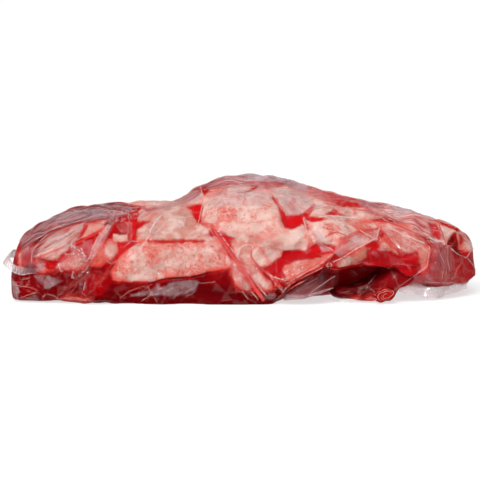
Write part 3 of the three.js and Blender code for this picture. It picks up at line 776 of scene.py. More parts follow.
# As on the long creases, their white lines are painted highlights and their darkest ones painted shade.
# Count, length, bearing, spread, tones from and to, strengths from and to, corners.
CRUMPLED = patches("""
30 8 30 80 .3 1 .3 .75: 54,270 60,258 72,248 80,250 90,264 84,276 62,276
16 8 50 30 .7 1 .3 .6: 70,256 70,246 76,243 88,258 84,264
9 10 -20 70 0 .9 .15 .4: 20,278 60,276 62,300 22,300
14 14 117 14 .2 1 .3 .6: 86,256 100,226 114,224 98,262
12 8 100 60 0 .9 .3 .6: 98,234 100,216 132,212 132,234
8 14 125 16 -.3 .4 .15 .4: 60,300 80,276 112,264 112,280 96,300
16 8 35 40 .5 1 .3 .7: 424,252 424,230 446,236 454,250
10 10 -50 40 0 .9 .3 .6: 268,300 270,278 296,272 286,300
12 12 -22 18 .7 1 .15 .4: 124,298 150,284 200,278 192,296
14 12 80 30 .2 .9 .15 .45: 434,284 434,250 458,256 472,276 466,284
6 10 -60 40 -.2 .6 .1 .3: 226,296 226,276 246,276 258,300
26 16 14 22 .5 1 .2 .5: 300,200 380,207 440,226 430,242 380,226 320,220
14 14 -35 14 .6 1 .2 .45: 36,262 40,246 80,224 84,238 60,258
12 10 55 25 .5 1 .25 .5: 232,262 262,250 280,262 270,290 240,290
14 9 -30 40 .8 1 .12 .3: 112,260 150,242 220,242 230,266 150,280
22 12 -25 35 .8 1 .12 .35: 206,200 240,186 278,200 282,226 230,230
12 12 10 60 .4 1 .15 .4: 340,262 352,242 380,230 424,248 426,264 380,268
14 12 -40 30 .8 1 .12 .35: 138,212 190,204 210,236 140,240
""")
for number, region in enumerate(CRUMPLED):
    CREASES += crumple(*region, 100 + number)
print(len(CREASES), "creases and short folds")

# %% [markdown]
# The patches are shapes in the view, and the mesh needs a value at each of its points. On the front a
# point takes the value of its place in the view. The back and the top can't be seen from there, so
# they get patches of the same kind from noise, and the two are blended where the surface turns away.

# %% What faces the view, and what lies in the recess
front_xyz = skin.reshape(-1, 3)[front_points]
frayed = front_place + 1.2 * np.stack([uneven(front_xyz, 9, 3, 11), uneven(front_xyz, 9, 3, 17)], axis=1)


def onto_grid(values, elsewhere):
    """Values at the front points, blended into those of the rest where the surface turns away."""
    whole = np.array(np.broadcast_to(elsewhere, (RINGS, AROUND)), float).ravel()
    share = faces_view.ravel()[front_points]
    whole[front_points] = share * values + (1 - share) * whole[front_points]
    return whole.reshape(RINGS, AROUND)


def less_frayed(layers, share):
    """Depth and values of patches whose edges are frayed by a share of the full fraying."""
    return lay_out(layers, front_place + share * (frayed - front_place))


chart_x = np.broadcast_to(plain[..., 0], (RINGS, AROUND))
set_back = ramp(3, 9, curve(LIP_SETBACK, chart_x)) * (plain[..., 1] < 0)
in_recess = ramp(0.3, 2.5, lip_height(chart_x) - plain[..., 2])
in_recess = set_back * in_recess * (1 - ramp(150, 162, chart_x))
in_recess = in_recess.ravel()[front_points]

# %% [markdown]
# Fat comes first. The back gets it from noise, with a little more where the surface faces up.

# %% Fat and its stains on the grid
fat_depth, fat_tone = lay_out(FAT, frayed)
fat_depth = fat_depth - (REACH + fat_depth) * in_recess  # nothing pale shows under the lip
between_pads = inside_by(front_place, BETWEEN_PADS)
fat_depth = fat_depth + 1.8 * ramp(-2, 4, between_pads)
turned_up = np.clip(skin_normal[..., 2], -1, 1)
fat = onto_grid(fat_depth, 12 * uneven(skin, 60, 3, 3) + 6 * turned_up - 1)
cream = onto_grid(fat_tone[:, 0], 0.6 + 0.2 * uneven(skin, 30, 2, 5))
# Stain also carries the painted shade of pads that turn away from the light.
stain_depth, stain_tone = lay_out(STAINS, frayed)
soaked = np.maximum(fat_tone[:, 1], stain_tone[:, 0] * ramp(-5, 5, stain_depth))
stain = onto_grid(soaked, 0.25 + 0.2 * uneven(skin, 25, 2, 6))
melt_depth, melt_width = lay_out(MELTS, front_place, blend=2)
melt = onto_grid(1.0 + (melt_width[:, 0] - 1.0) * ramp(-4, 3, melt_depth), 1.0)

# %% [markdown]
# Juice fills what lies between the pads. Neither juice nor a veil, with its painted reflection, reaches into
# the recess, and the bare lean there has a glow of its own: painted light that makes it lighter than the lean
# elsewhere.

# %% Juice, veils and glowing lean on the grid
# The lean's glow: low on most of the pack, high between the pads where the lean shows red, and lifted under
# the lip as painted light in its shade.
LEAN_ELSEWHERE, GLOW_BETWEEN_PADS, GLOW_BEHIND = 0.18, 0.9, 0.4
juice_depth, juice_tone = less_frayed(JUICE, 0.4)
juice_depth = np.maximum(juice_depth, np.minimum(-0.8 - fat_depth, between_pads)) - REACH * in_recess
juice = onto_grid(juice_depth, 10 * uneven(skin, 45, 2, 9) - 7)
juice_deep = onto_grid(juice_tone[:, 0], 0.5)
# Veils: pale film that is partly a painted reflection of the lights.
veil_depth, veil_tone = less_frayed(VEILS, 0.8)
veil = onto_grid(veil_depth - REACH * in_recess, 12 * uneven(skin, 40, 2, 21) - 4)
veil_strength = onto_grid(veil_tone[:, 0], 0.3)
glow_depth, glow_tone = lay_out(LEAN_GLOW, frayed, blend=3)
glow_shown = np.where(between_pads > 0, np.maximum(glow_tone[:, 0], GLOW_BETWEEN_PADS), glow_tone[:, 0])
glow_share = ramp(-5, 3, np.maximum(glow_depth, between_pads))
glow_seen = LEAN_ELSEWHERE + (glow_shown - LEAN_ELSEWHERE) * glow_share
glow = onto_grid(glow_seen + (GLOW_BEHIND - glow_seen) * in_recess, GLOW_BEHIND)

# %% [markdown]
# Along the crest the view only grazes the surface, so what shows there is placed with the tape measure
# instead: two pale stretches of film, which are a painted sheen of the light on the taut film, and between
# them a red one.

# %% Bands across the crest
band_noise = uneven(skin, 28, 3, 41), uneven(skin, 28, 3, 43)


def crest_band(start, stop, back, front):
    """1 along a stretch of the crest and a little to its back and front, 0 a few millimetres away.
    Its borders wander, so that no straight edge shows from above."""
    x = chart_x + 16 * band_noise[0]
    round_way = from_crest + 12 * band_noise[1] * ramp(8, -12, from_crest)
    along = ramp(start - 10, start, x) * (1 - ramp(stop, stop + 10, x))
    return along * ramp(back - 5, back, round_way) * (1 - ramp(front, front + 5, round_way))


PALE_BANDS = [(crest_band(150, 188, -26, 20), 0.9), (crest_band(2, 54, -24, 20), 0.85)]
for band, pale in PALE_BANDS:
    veil, veil_strength = np.maximum(veil, 9 * band - 5), np.maximum(veil_strength, pale * band)
red_band = crest_band(80, 128, -24, 22)
juice, juice_deep = np.maximum(juice, 9 * red_band - 6), juice_deep + (0.45 - juice_deep) * red_band
print(f"fat covers {(fat > 0).mean():.2f} of the grid, and juice {(juice > 0).mean():.2f}")

# %% [markdown]
# ## Sweeps of fine folds
# Along the top the film is pulled into hundreds of fine folds that run together towards the gathers.
# A sweep is the area between two chains of places. Each point in it gets how far along and how far across it
# lies, and the material draws long thin streaks in those two directions: red ones of juice, white ones that
# are painted highlights on the folds, and a pale painted sheen.

# %% Sweeps: strength, whether the folds follow the crest, upper chain, lower chain
SWEEP_OFFSET = 300  # keeps the streaks of one sweep from going on in the next
SWEEPS = [
    (0.9, True, "18,240 30,226 46,216 64,209 85,204 110,202 141,205",
     "22,256 36,247 54,236 76,226 98,222 120,219 141,210"),
    (0.7, True, "141,201 160,199 172,199 186,192 203,184",
     "144,208 160,210 175,208 190,206 204,201"),
    (1, True,
     "204,183 214,178 228,173 246,172 264,174 285,177 308,184 335,191 365,199 395,205 425,213 445,219",
     "204,192 216,190 232,190 248,189 264,187 284,189 302,195 325,205 352,211 380,218 410,228 430,241"),
    (0.5, False, "103,225 95,238 87,256", "113,226 105,242 92,262"),
    (0.5, False, "30,247 48,234 66,226 84,222", "36,262 50,258 66,252 80,238"),
    (0.3, False, "381,227 395,228 412,234 426,243", "381,230 387,240 397,250 410,254"),
    (0.15, False, "440,246 440,262 436,282", "452,250 456,264 452,282"),
    (0.38, False, "340,236 352,230 368,229 380,227", "336,254 348,248 364,241 379,233"),
    (0.4, False, "226,262 234,275 241,287", "240,262 249,275 256,287"),
]


def near_chain(where, chain):
    """Distance to a chain of places, and how far along it the nearest place is, in millimetres."""
    distance, along, start = np.full(len(where), 1e3), np.zeros(len(where)), 0.0
    for (x0, y0), (x1, y1) in zip(chain, chain[1:]):
        d, t, _ = near_line(*where.T, x0, y0, x1, y1)
        length = math.hypot(x1 - x0, y1 - y0)
        along = np.where(d < distance, start + t * length, along)
        distance = np.minimum(distance, d)
        start += length
    return distance, along


def sweep_fields(where):
    """How strong the folds are at each place, how far along and across its sweep it lies, and whether
    the sweep's folds follow the crest instead."""
    strength, along, across = (np.zeros(len(where)) for _ in range(3))
    by_crest = np.ones(len(where), bool)
    for number, (strong, follows, *chains) in enumerate(SWEEPS):
        upper, lower = (pairs(chain) for chain in chains)
        inside = inside_by(where, upper + lower[::-1])
        some = np.flatnonzero(inside > -1)
        over, run = near_chain(where[some], upper)
        under, _ = near_chain(where[some], lower)
        width = np.mean([math.dist(a, b) for a, b in zip(upper, lower)])
        strength[some] = strong * ramp(-1, 5 if follows else 2, inside[some])
        along[some] = run + SWEEP_OFFSET * number
        across[some] = width * over / np.maximum(over + under, 1e-6)
        by_crest[some] = follows
    return strength, along, across, by_crest


# %% [markdown]
# Behind the crest nothing is known of the folds. A few centres are spread over the back, each with a
# bearing of its own, and every point takes the bearing of the centre nearest to it. So the film there
# looks drawn together from several sides, as it does on the front.

# %% Folds on the back and along the crest
# Centres: x, millimetres round from the crest, bearing in degrees.
PULLS = [(-205, -80, 60), (-165, -130, -20), (-110, -75, 25), (-60, -140, 5), (-20, -85, -35), (45, -130, 15),
         (80, -70, 40), (135, -120, -10), (185, -60, -45), (215, -110, 70), (-220, -20, 80), (225, 20, -75)]
chart = np.stack([chart_x, from_crest], axis=-1)
away = np.linalg.norm(chart[:, :, None] - np.array(PULLS, float)[:, :2], axis=3)
order = np.argsort(away, axis=2)[..., :2]
nearest, second = (np.take_along_axis(away, order[..., i:i + 1], 2)[..., 0] for i in (0, 1))
bearing = np.radians(np.array(PULLS, float)[order[..., 0], 2])
pull_strength = 0.48 * ramp(2, 24, second - nearest) * ramp(-0.5, 0.3, uneven(skin, 30, 2, 33))
pull_strength = pull_strength * (1 - ramp(-70, -46, from_crest))
crest_strength = 0.6 * ramp(-44, -20, from_crest) * ramp(-0.1, 0.3, skin_normal[..., 2])
crest_strength = crest_strength * ramp(-0.35, 0.45, uneven(skin, 40, 3, 37))
crest_strength = crest_strength * ramp(-230, -212, chart_x) * (1 - ramp(186, 208, chart_x))
crest_strength = crest_strength * (1 - 0.8 * ramp(-130, -118, chart_x) * (1 - ramp(-86, -74, chart_x)))

# %% [markdown]
# Six places stay almost bare, such as the tan strip at the left of the crest and the raised end's cap.
# The rest is put together here: strength, tone, haze, and the two directions of the streaks.

# %% Sweeps on the grid
BARE = [pairs(line) for line in """
72,212 90,210 118,210.5 128,214 110,216.5 88,216
126,204 138,200 148,198.5 172,198 176,203 160,205.5 140,206.5
285,183 300,184 312,190 300,193 288,189
336,200 356,201 372,203 380,208 368,209 340,209
260,175 290,177 290,190 262,190
427,222 437,219 458,226 460,246 444,246 440,239 433,240
""".strip().splitlines()]
sweep_strength, sweep_along, sweep_across, by_crest = sweep_fields(front_place)
for corners in BARE:
    sweep_strength = sweep_strength * (1 - 0.85 * ramp(-1.5, 1.5, inside_by(front_place, corners)))
sweep = onto_grid(sweep_strength * (1 - in_recess), np.maximum(pull_strength, crest_strength))
# The painted sheen on the streaks is weak over the red stretch of the crest and fades out towards the back.
sweep_haze = 1 - 0.85 * ramp(55, 90, chart_x) * (1 - ramp(122, 145, chart_x))
sweep_haze = sweep_haze * ramp(-110, -40, from_crest)
for band, _ in PALE_BANDS:
    sweep = sweep * (1 - 0.75 * band)
sweep_tone = np.maximum(ramp(-70, 60, chart_x), 0.9 * ramp(0.5, 0.9, facing))
near_crest = from_crest > -45
sway = 1.5 + 7 * ramp(0, 30, -from_crest)
along_pull = chart_x * np.cos(bearing) + from_crest * np.sin(bearing) + SWEEP_OFFSET * order[..., 0]
across_pull = from_crest * np.cos(bearing) - chart_x * np.sin(bearing)
sweep_u = np.where(near_crest, chart_x, along_pull).ravel()
sweep_v = np.where(near_crest, from_crest + sway * value_noise(chart / [80, 45], 23), across_pull).ravel()
own_way = front_points[~by_crest]
sweep_u[own_way], sweep_v[own_way] = sweep_along[~by_crest], sweep_across[~by_crest]
sweep_u, sweep_v = sweep_u.reshape(RINGS, AROUND), sweep_v.reshape(RINGS, AROUND)
print(len(SWEEPS), "sweeps of fine folds")

# %% [markdown]
# Each crease is a chain of line pieces. A point of the mesh keeps its signed distance to the nearest
# one, in half widths, so the material can draw a line that is thinner than the mesh is fine.


# %% Carry the creases to the grid
def crease_fields(where, creases):
    """For each place: signed distance over half width of the nearest crease, its strength, its tone,
    and how far the film stands up there."""
    side, strength, tone, rise = (np.zeros(len(where)) for _ in range(4))
    near = np.full(len(where), 9.0)
    for shade, strong, half_width, high, places in creases:
        for (x0, y0), (x1, y1) in zip(places, places[1:]):
            box = (where > np.minimum((x0, y0), (x1, y1)) - 6) & (where < np.maximum((x0, y0), (x1, y1)) + 6)
            some = np.flatnonzero(box.all(axis=1))
            distance, _, turn = near_line(*where[some].T, x0, y0, x1, y1)
            closer = distance / half_width < near[some]
            picked = some[closer]
            near[picked] = (distance / half_width)[closer]
            side[picked] = (turn * distance / half_width)[closer]
            strength[picked] = (strong * (1 - ramp(1.0, 1.9, distance - half_width / 2)))[closer]
            tone[picked] = shade
            rise[some] = np.maximum(rise[some], high * np.maximum(0, 1 - distance / (1.2 + half_width)))
    return side, strength, tone, rise


# %% [markdown]
# ## Facets of the film
# Shrunk film doesn't follow the meat smoothly. It is drawn taut between high points and meets itself
# in sharp folds, so it looks faceted. Random points and the creases are joined into triangles, each
# point gets a random height, and the film is flat inside each triangle.


# %% Flat facets between random points
def cross(a, b):
    """The cross product of two directions in a plane."""
    return a[0] * b[1] - a[1] * b[0]


def facets(where, low, high, spacing, heights, seed, chains=()):
    """Heights that are linear inside each triangle of a net over the places, a random shade for each
    triangle, and every fourth edge of the net, as a line to lay a crease on. The net joins the points
    of a lattice, each pushed aside at random by up to 0.42 of the spacing, and chains of places."""
    random = np.random.default_rng(seed)
    counts = np.maximum(((np.array(high) - low) / spacing).astype(int), 2)
    rows = [np.linspace(a, b, n) for a, b, n in zip(low, high, counts)]
    points = np.stack(np.meshgrid(*rows), -1).reshape(-1, 2)
    points = points + random.uniform(-0.42, 0.42, points.shape) * spacing
    edges = []
    for chain in chains:
        start = len(points)
        points = np.concatenate([points, np.array(chain, float)])
        edges += [(start + i, start + i + 1) for i in range(len(chain) - 1)]
    made = delaunay_2d_cdt([Vector(p) for p in points], edges, [], 0, 0.4)
    corners, triangles = np.array([tuple(v) for v in made[0]]), np.array(made[2])
    height = random.uniform(*heights, len(corners))
    shade = random.uniform(0, 1, len(triangles))
    by_x = np.argsort(where[:, 0])
    sorted_x = where[by_x, 0]
    result, tone = np.zeros(len(where)), np.zeros(len(where))
    for (a, b, c), value in zip(triangles, shade):
        a_to_b, a_to_c = corners[b] - corners[a], corners[c] - corners[a]
        area = cross(a_to_b, a_to_c)
        if abs(area) < 1e-6:
            continue
        spanned = corners[[a, b, c], 0]
        first, last = np.searchsorted(sorted_x, [spanned.min(), spanned.max()])
        some = by_x[first:last]
        a_to_place = (where[some] - corners[a]).T
        u, v = cross(a_to_place, a_to_c) / area, cross(a_to_b, a_to_place) / area
        hit = (u >= -1e-6) & (v >= -1e-6) & (u + v <= 1 + 1e-6)
        inside = some[hit]
        result[inside] = height[a] + u[hit] * (height[b] - height[a]) + v[hit] * (height[c] - height[a])
        tone[inside] = value
    return result, tone, [[tuple(corners[a]), tuple(corners[b])] for a, b in made[1][::4]]


# %% [markdown]
# One net covers the front as it is seen, and another covers the whole pack as it would lie when
# unrolled. Some edges of both nets carry a faint crease, since facets of film meet in creases.

# %% Facets and creases on the grid
flat_chart = chart.reshape(-1, 2)
squeeze = np.array([2.2, 1.0])  # facets on the back are longer along the cut
squeezed = flat_chart / squeeze
rest_height, rest_shade, rest_lines = facets(
    squeezed, squeezed.min(0) - 1, squeezed.max(0) + 1, 15, (0.0, 1.6), 4)
front_height, front_shade, front_lines = facets(
    front_place, (0, 165), (480, 310), 9, (0.1, 1.6), 8, [places for *_, places in CREASES])
# The faint creases on the nets' edges are pale painted highlights and red lines of juice.
dice = np.random.default_rng(5)
for places in front_lines:
    CREASES.append((dice.uniform(0.3, 0.8), dice.uniform(0.0, 0.25), 0.4, 0.0, places))
rest_creases = [(dice.uniform(0.0, 1.0), dice.uniform(0.1, 0.6), dice.uniform(0.4, 0.8), 0.5,
                 [tuple(np.array(a) * squeeze), tuple(np.array(b) * squeeze)]) for a, b in rest_lines]
crease_side, crease_strength, crease_tone, crease_rise = crease_fields(front_place, CREASES)
crease_strength = crease_strength * ramp(0.06, 0.2, facing.ravel()[front_points]) * (1 - in_recess)
rest_side, rest_strength, rest_tone, rest_rise = (
    v.reshape(RINGS, AROUND) for v in crease_fields(flat_chart, rest_creases))
print(len(CREASES), "creases laid over the front and", len(rest_creases), "over the rest")
rest_height = rest_height.reshape(RINGS, AROUND) * ramp(1, 8, skin[..., 2])
facet_height = onto_grid(front_height, rest_height)
# A random shade for each facet, with which the film material gives a few facets a faint painted sheen.
facet_shade = onto_grid(front_shade, rest_shade.reshape(RINGS, AROUND))
print("facets stand up to", round(facet_height.max(), 1), "mm")

# %% [markdown]
# ## The three surfaces
# The meat lies about a millimetre under the solid's skin. The juice is a skin of its own that comes
# out of the meat where a pocket is filled, and the film goes over both.


# %% Heights of meat, juice and film above the plain section
def along_normals(points, normals, amount, floor):
    """Each point moved along its normal, and kept above a lowest height."""
    moved = points + amount[..., None] * normals
    moved[..., 2] = np.maximum(moved[..., 2], floor)
    return moved


fine = 0.35 * uneven(skin, 8, 3, 31)
in_fat, in_juice = ramp(-3, 4, fat), ramp(-1.5, 3.0, juice)
clear_of_floor = ramp(0, 10, skin[..., 2])
meat_rise = -1.0 + fine + 0.4 * (in_fat - 0.5) - 0.6 * in_juice
juice_shown = ramp(-6, -2.5, juice)
juice_rise = meat_rise - 0.5 + juice_shown * (np.maximum(meat_rise + 0.2, -0.8) - meat_rise + 0.5)
meat_rise = meat_rise + 0.7 * (1 - clear_of_floor)
# The facets are lower at the blunt end and along its crest, and nearly flat beside the lip.
calm = 0.35 + 0.65 * ramp(-222, -205, chart_x)
calm = calm * (1 - 0.55 * np.exp(-((from_crest / 22) ** 2)) * (1 - ramp(-60, -30, chart_x)))
near_lip = (set_back > 0.01) * np.exp(-(((plain[..., 2] - lip_height(chart_x)) / 4) ** 2))
ridge = onto_grid(crease_rise, rest_rise)
film_rise = 0.1 + (0.9 * facet_height * clear_of_floor * calm + ridge) * (1 - 0.8 * near_lip)
# Film lies over juice and meat, with a small gap, and a pocket never gets deeper than 2 mm.
film_rise = np.maximum(film_rise, np.maximum(meat_rise, juice_rise) + 0.3)
meat_rise = np.maximum(meat_rise, film_rise - 0.8 - 1.2 * in_juice)
juice_rise = np.maximum(juice_rise, meat_rise + 0.25 * juice_shown - 0.5 * (1 - juice_shown))
film_grid = along_normals(skin, skin_normal, film_rise, 0.0)
meat_grid = along_normals(skin, skin_normal, np.minimum(meat_rise, film_rise - 0.3), 0.2)
juice_grid = along_normals(skin, skin_normal, np.minimum(juice_rise, film_rise - 0.15), 0.15)
print("film stands", round(float((film_rise - meat_rise).mean()), 2), "mm off the meat on average")

# %% [markdown]
# A mesh is a list of points and a list of faces. Four neighbours on the grid make a face, the last
# point of a ring joins the first, and a fan round a middle point closes each end. What the material
# needs to know at a point is kept in the mesh as an attribute.


# %% Turn a grid into a closed mesh
def new_object(name, data):
    """An object with its mesh, lamp or camera, in the scene."""
    made = bpy.data.objects.new(name, data)
    bpy.context.scene.collection.objects.link(made)
    return made


def new_piece(name, points, faces, attributes):
    """An object at the origin with its mesh in metres, and a value per point for each attribute."""
    mesh = bpy.data.meshes.new(name)
    mesh.from_pydata(((points + FRAME_SHIFT) / 1000).tolist(), [], faces)
    mesh.polygons.foreach_set("use_smooth", np.ones(len(mesh.polygons), bool))
    for key, values in attributes.items():
        mesh.attributes.new(key, "FLOAT", "POINT").data.foreach_set("value", values.astype(np.float32))
    mesh.update()
    return new_object(name, mesh)


def closed_mesh(name, grid, **attributes):
    """A tube of rings, closed by a fan at each end."""
    rings, around = grid.shape[:2]
    i, j = np.meshgrid(np.arange(rings - 1), np.arange(around), indexing="ij")
    here, beside = i * around + j, i * around + (j + 1) % around
    quads = np.stack([here, beside, beside + around, here + around], axis=-1).reshape(-1, 4)
    edge = np.arange(around)
    after, last = (edge + 1) % around, (rings - 1) * around
    first_fan = np.stack([np.full(around, rings * around), after, edge], axis=1)
    last_fan = np.stack([np.full(around, rings * around + 1), last + edge, last + after], axis=1)
    points = np.concatenate([grid.reshape(-1, 3), grid[:1].mean(axis=1), grid[-1:].mean(axis=1)])
    values = {}
    for key, given in attributes.items():
        flat = np.broadcast_to(given, (rings, around)).reshape(-1)
        values[key] = np.concatenate([flat, [flat[:around].mean()], [flat[-around:].mean()]])
    return new_piece(name, points, quads.tolist() + first_fan.tolist() + last_fan.tolist(), values)


meat = closed_mesh("brisket_meat", meat_grid, fat=fat, cream=cream, stain=stain, glow=glow, melt=melt)
juice_skin = closed_mesh("meat_juice", juice_grid, juice=juice, deep=juice_deep)
# The film's values carry painted light: the veils' partly painted reflection, the painted shade of the
# recess, the facets' painted sheen, the creases' painted highlights and shade, and the sweeps' painted sheen.
film = closed_mesh(
    "film_bag", film_grid, veil=veil, veil_strength=veil_strength, facet=facet_shade, tinge=0.0,
    crease_side=onto_grid(crease_side, rest_side), crease_tone=onto_grid(crease_tone, rest_tone),
    crease_strength=onto_grid(crease_strength, rest_strength),
    sweep=sweep, sweep_u=sweep_u, sweep_v=sweep_v, sweep_tone=sweep_tone, sweep_haze=sweep_haze)
for piece in (meat, juice_skin, film):
    print(piece.name, len(piece.data.vertices), "points")

# %% [markdown]
# ## The rolled flap
# A thin flap of meat hangs under the overhanging edge. It thickens to the right and ends in a small
# roll that faces the viewer.

# %% The flap
FLAP_TIP_X, FLAP_ROOT_X = 84, 178
FLAP_FRONT = pairs("84,-58 92,-62 110,-66 138,-70 150,-66 158,-60 178,-46")
FLAP_BACK = pairs("84,-44 150,-18 178,-18")
FLAP_TOP = pairs("84,12 92,14 100,17 120,21 135,32 150,38 166,34 178,28")
FLAP_FOOT = pairs("84,10 90,5 100,4 108,3 118,2 132,1 140,2 146,8 150,13 156,16 164,20 178,25")
FLAP_SQUARENESS = 2.8
FLAP_MEAT_INSET, FLAP_FILM_INSET = 1.6, 0.8  # how far meat and film lie under the plain oval


def flap_rings(rings, around, inset):
    """Squared ovals along x, thin at the tip: reach = scale * (|cos/depth|^n + |sin/height|^n)^(-1/n)."""
    share = np.linspace(0.0, 1, rings)
    x = FLAP_TIP_X + (FLAP_ROOT_X - FLAP_TIP_X) * share
    scale = np.sin((np.pi / 2) * np.minimum(1, 0.02 + 4 * share)) ** 0.6
    front, back = curve(FLAP_FRONT, x), curve(FLAP_BACK, x)
    top, foot = curve(FLAP_TOP, x), curve(FLAP_FOOT, x)
    turn = 2 * np.pi * np.arange(around) / around
    c, s = np.cos(turn)[None], np.sin(turn)[None]
    depth, height = ((back - front) / 2)[:, None], ((top - foot) / 2)[:, None]
    reach = (abs(c) / depth) ** FLAP_SQUARENESS + (abs(s) / height) ** FLAP_SQUARENESS
    reach = scale[:, None] * reach ** (-1 / FLAP_SQUARENESS) - inset
    y = ((front + back) / 2)[:, None] + reach * c
    z = ((top + foot) / 2)[:, None] + reach * s
    return np.stack([np.broadcast_to(x[:, None], y.shape), y, z], axis=-1)


def lay_flap(inset, unevenness):
    """The flap's skin, with lumps of the solid's size and finer ones, resting on the surface."""
    grid = flap_rings(120, 110, inset)
    out = 1.2 * lumps(grid, 24) + unevenness(grid)
    return along_normals(grid, grid_normals(grid), out, max(0.3, inset * 0.7))


def flap_facets(grid):
    """Facets over the flap in its own chart: along it, and round it."""
    around = np.linspace(0, 1, grid.shape[1], endpoint=False)
    flat = np.stack([grid[..., 0], np.broadcast_to(around * 120, grid.shape[:2])], -1).reshape(-1, 2)
    return facets(flat, (80, -5), (185, 125), 12, (0.0, 3.0), 12)[0].reshape(grid.shape[:2])


flap_meat_grid = lay_flap(FLAP_MEAT_INSET, lambda g: flap_facets(g) + 0.4 * uneven(g, 9, 3, 41))
flap_film_grid = lay_flap(FLAP_FILM_INSET, flap_facets)
flap_place = seen_at(flap_meat_grid)
LENSES = patches("""
0: 350,300 353,297.5 360,296.5 363,300
0: 363,301 366,297 372,295 378,297.5 377,301
""")  # two small lenses of fat along the flap's foot
in_lens = lay_out(LENSES, flap_place.reshape(-1, 2))[0].reshape(flap_place.shape[:2])
flap_fat = np.maximum(3 * uneven(flap_meat_grid, 14, 2, 45) - 10, in_lens - 1.0)
flap_glow = 0.06 + 0.5 * ramp(362, 394, flap_place[..., 0]) + 0.2 * uneven(flap_meat_grid, 16, 2, 46)
flap_meat = closed_mesh(
    "flap_meat", flap_meat_grid, fat=flap_fat, cream=0.2, stain=0.3, glow=flap_glow, melt=1.0)

# %% [markdown]
# The flap has film of its own round it, with creases that run towards the roll. Their white lines are painted
# highlights and their darkest ones painted shade.

# %% Film over the flap
FLAP_CREASES = patches("""
.9 .55 .22 .3: 368,284 371,281 374,277 376,275
.9 .5 .22 .3: 366,285 368,288 372,290 375,293
.8 .4 .22 .3: 391,271 393,275 396,279 398,286
.7 .35 .22 .3: 358,296 366,291 371,289
.6 .3 .22 .3: 341,281 352,284 362,284
.2 .5 .3 .3: 363,276 372,271 392,268
.5 .3 .22 .3: 350,290 360,287 368,285
.8 .5 .3 .4: 421,271 410,279 400,286 394,290
""")
flap_seen = pairs("330,298 340,280 384,268 400,276 376,298")
FLAP_CREASES += crumple(40, 8, -40, 60, -0.6, 0.8, 0.15, 0.45, flap_seen, 90)


def film_values(grid, creases, veil_depth=-REACH, veil_strength=0.0):
    """Values of the film's material for a loose piece, with the creases that cross it in the view."""
    shape = grid.shape[:2]
    side, strength, tone, _ = (v.reshape(shape) for v in crease_fields(seen_at(grid).reshape(-1, 2), creases))
    plain_values = dict.fromkeys(("tinge", "sweep", "sweep_u", "sweep_v", "sweep_tone", "sweep_haze"), 0.0)
    return {"veil": veil_depth, "veil_strength": veil_strength, "facet": 0.5, "crease_side": side,
            "crease_strength": strength, "crease_tone": tone, **plain_values}


flap_values = film_values(flap_film_grid, FLAP_CREASES, 8 * uneven(flap_film_grid, 12, 2, 47) - 5, 0.015)
towards_viewer = grid_normals(flap_film_grid) @ VIEW_AHEAD < 0
flap_values["crease_strength"] = flap_values["crease_strength"] * towards_viewer
flap_film = closed_mesh("flap_film", flap_film_grid, **flap_values)

# %% [markdown]
# The roll at the flap's end is a bar whose front face shows a coil. The coil is a spiral groove that is
# pressed into the face.

# %% The rolled end of the flap
CURL_RADIUS, CURL_LENGTH = 8.6, 30
CURL_PLACE = np.array([134.5, -61, 9.4])
CURL_TURN = math.radians(14)
COIL_PITCH, COIL_DEPTH, COIL_WIDTH = 4.6, 1.6, 0.16


def rolled_end():
    """A profile of radius against length, turned round the bar's axis; the face sinks along a spiral
    groove, where radius = pitch * turn / 2 pi, and the wall has soft lumps."""
    face = np.linspace(0.02, 1, 34)
    wall = np.linspace(0, 1, 30)[1:]
    radius = np.concatenate([CURL_RADIUS * face, CURL_RADIUS * (1 - 0.12 * wall**3)])
    length = np.concatenate([np.full(len(face), -CURL_LENGTH / 2), -CURL_LENGTH / 2 + CURL_LENGTH * wall])
    edge = ramp(0.75, 1.0, radius / CURL_RADIUS) * (length < -CURL_LENGTH / 2 + 0.1)
    length = length + 2.2 * edge
    turn = 2 * np.pi * np.arange(90) / 90
    r, around = np.meshgrid(radius, turn, indexing="ij")
    bent = 1.4 * value_noise(np.stack([r * np.cos(around) / 5, r * np.sin(around) / 5], axis=-1), 55)
    phase = ((r + bent) / COIL_PITCH - around / (2 * np.pi)) % 1
    groove = np.exp(-((np.minimum(phase, 1 - phase) / COIL_WIDTH) ** 2))
    groove = groove * ramp(0.1, 0.3, r / CURL_RADIUS)
    on_face = (np.arange(len(radius)) < len(face))[:, None]
    y = length[:, None] + np.where(on_face, COIL_DEPTH * groove, 0)
    squash = 1 + 0.14 * np.sin(2 * around + 0.9) + 0.07 * np.sin(5 * around) + 0.05 * np.sin(3 * around + 2)
    x, z = r * np.cos(around) * squash * 1.05, r * np.sin(around) * squash * 0.9
    c, s = math.cos(CURL_TURN), math.sin(CURL_TURN)
    grid = np.stack([x * c - y * s, x * s + y * c, z], axis=-1) + CURL_PLACE
    grid = grid + (0.5 * uneven(grid, 6, 2, 51))[..., None] * np.array([0.5, -1, 0.5]) / 1.2
    grid[..., 2] = np.maximum(grid[..., 2], 0.3)
    return grid[:, ::-1], groove[:, ::-1]


curl_grid, curl_groove = rolled_end()
# Pale fat along the rims of the coil's groove is a painted highlight, and the lean is painted darker down in
# the groove as shade.
curl_rim = ramp(0.03, 0.2, curl_groove) * (1 - ramp(0.3, 0.6, curl_groove))
curl_fat = 4 * uneven(curl_grid, 4, 2, 52) - 2.4 + 8 * curl_rim
curl = closed_mesh(
    "flap_roll", curl_grid, fat=curl_fat, cream=1.0, stain=0.5, glow=0.65 - 0.45 * curl_groove, melt=1.0)
print("flap and roll:", len(flap_meat.data.vertices) + len(curl.data.vertices), "points")

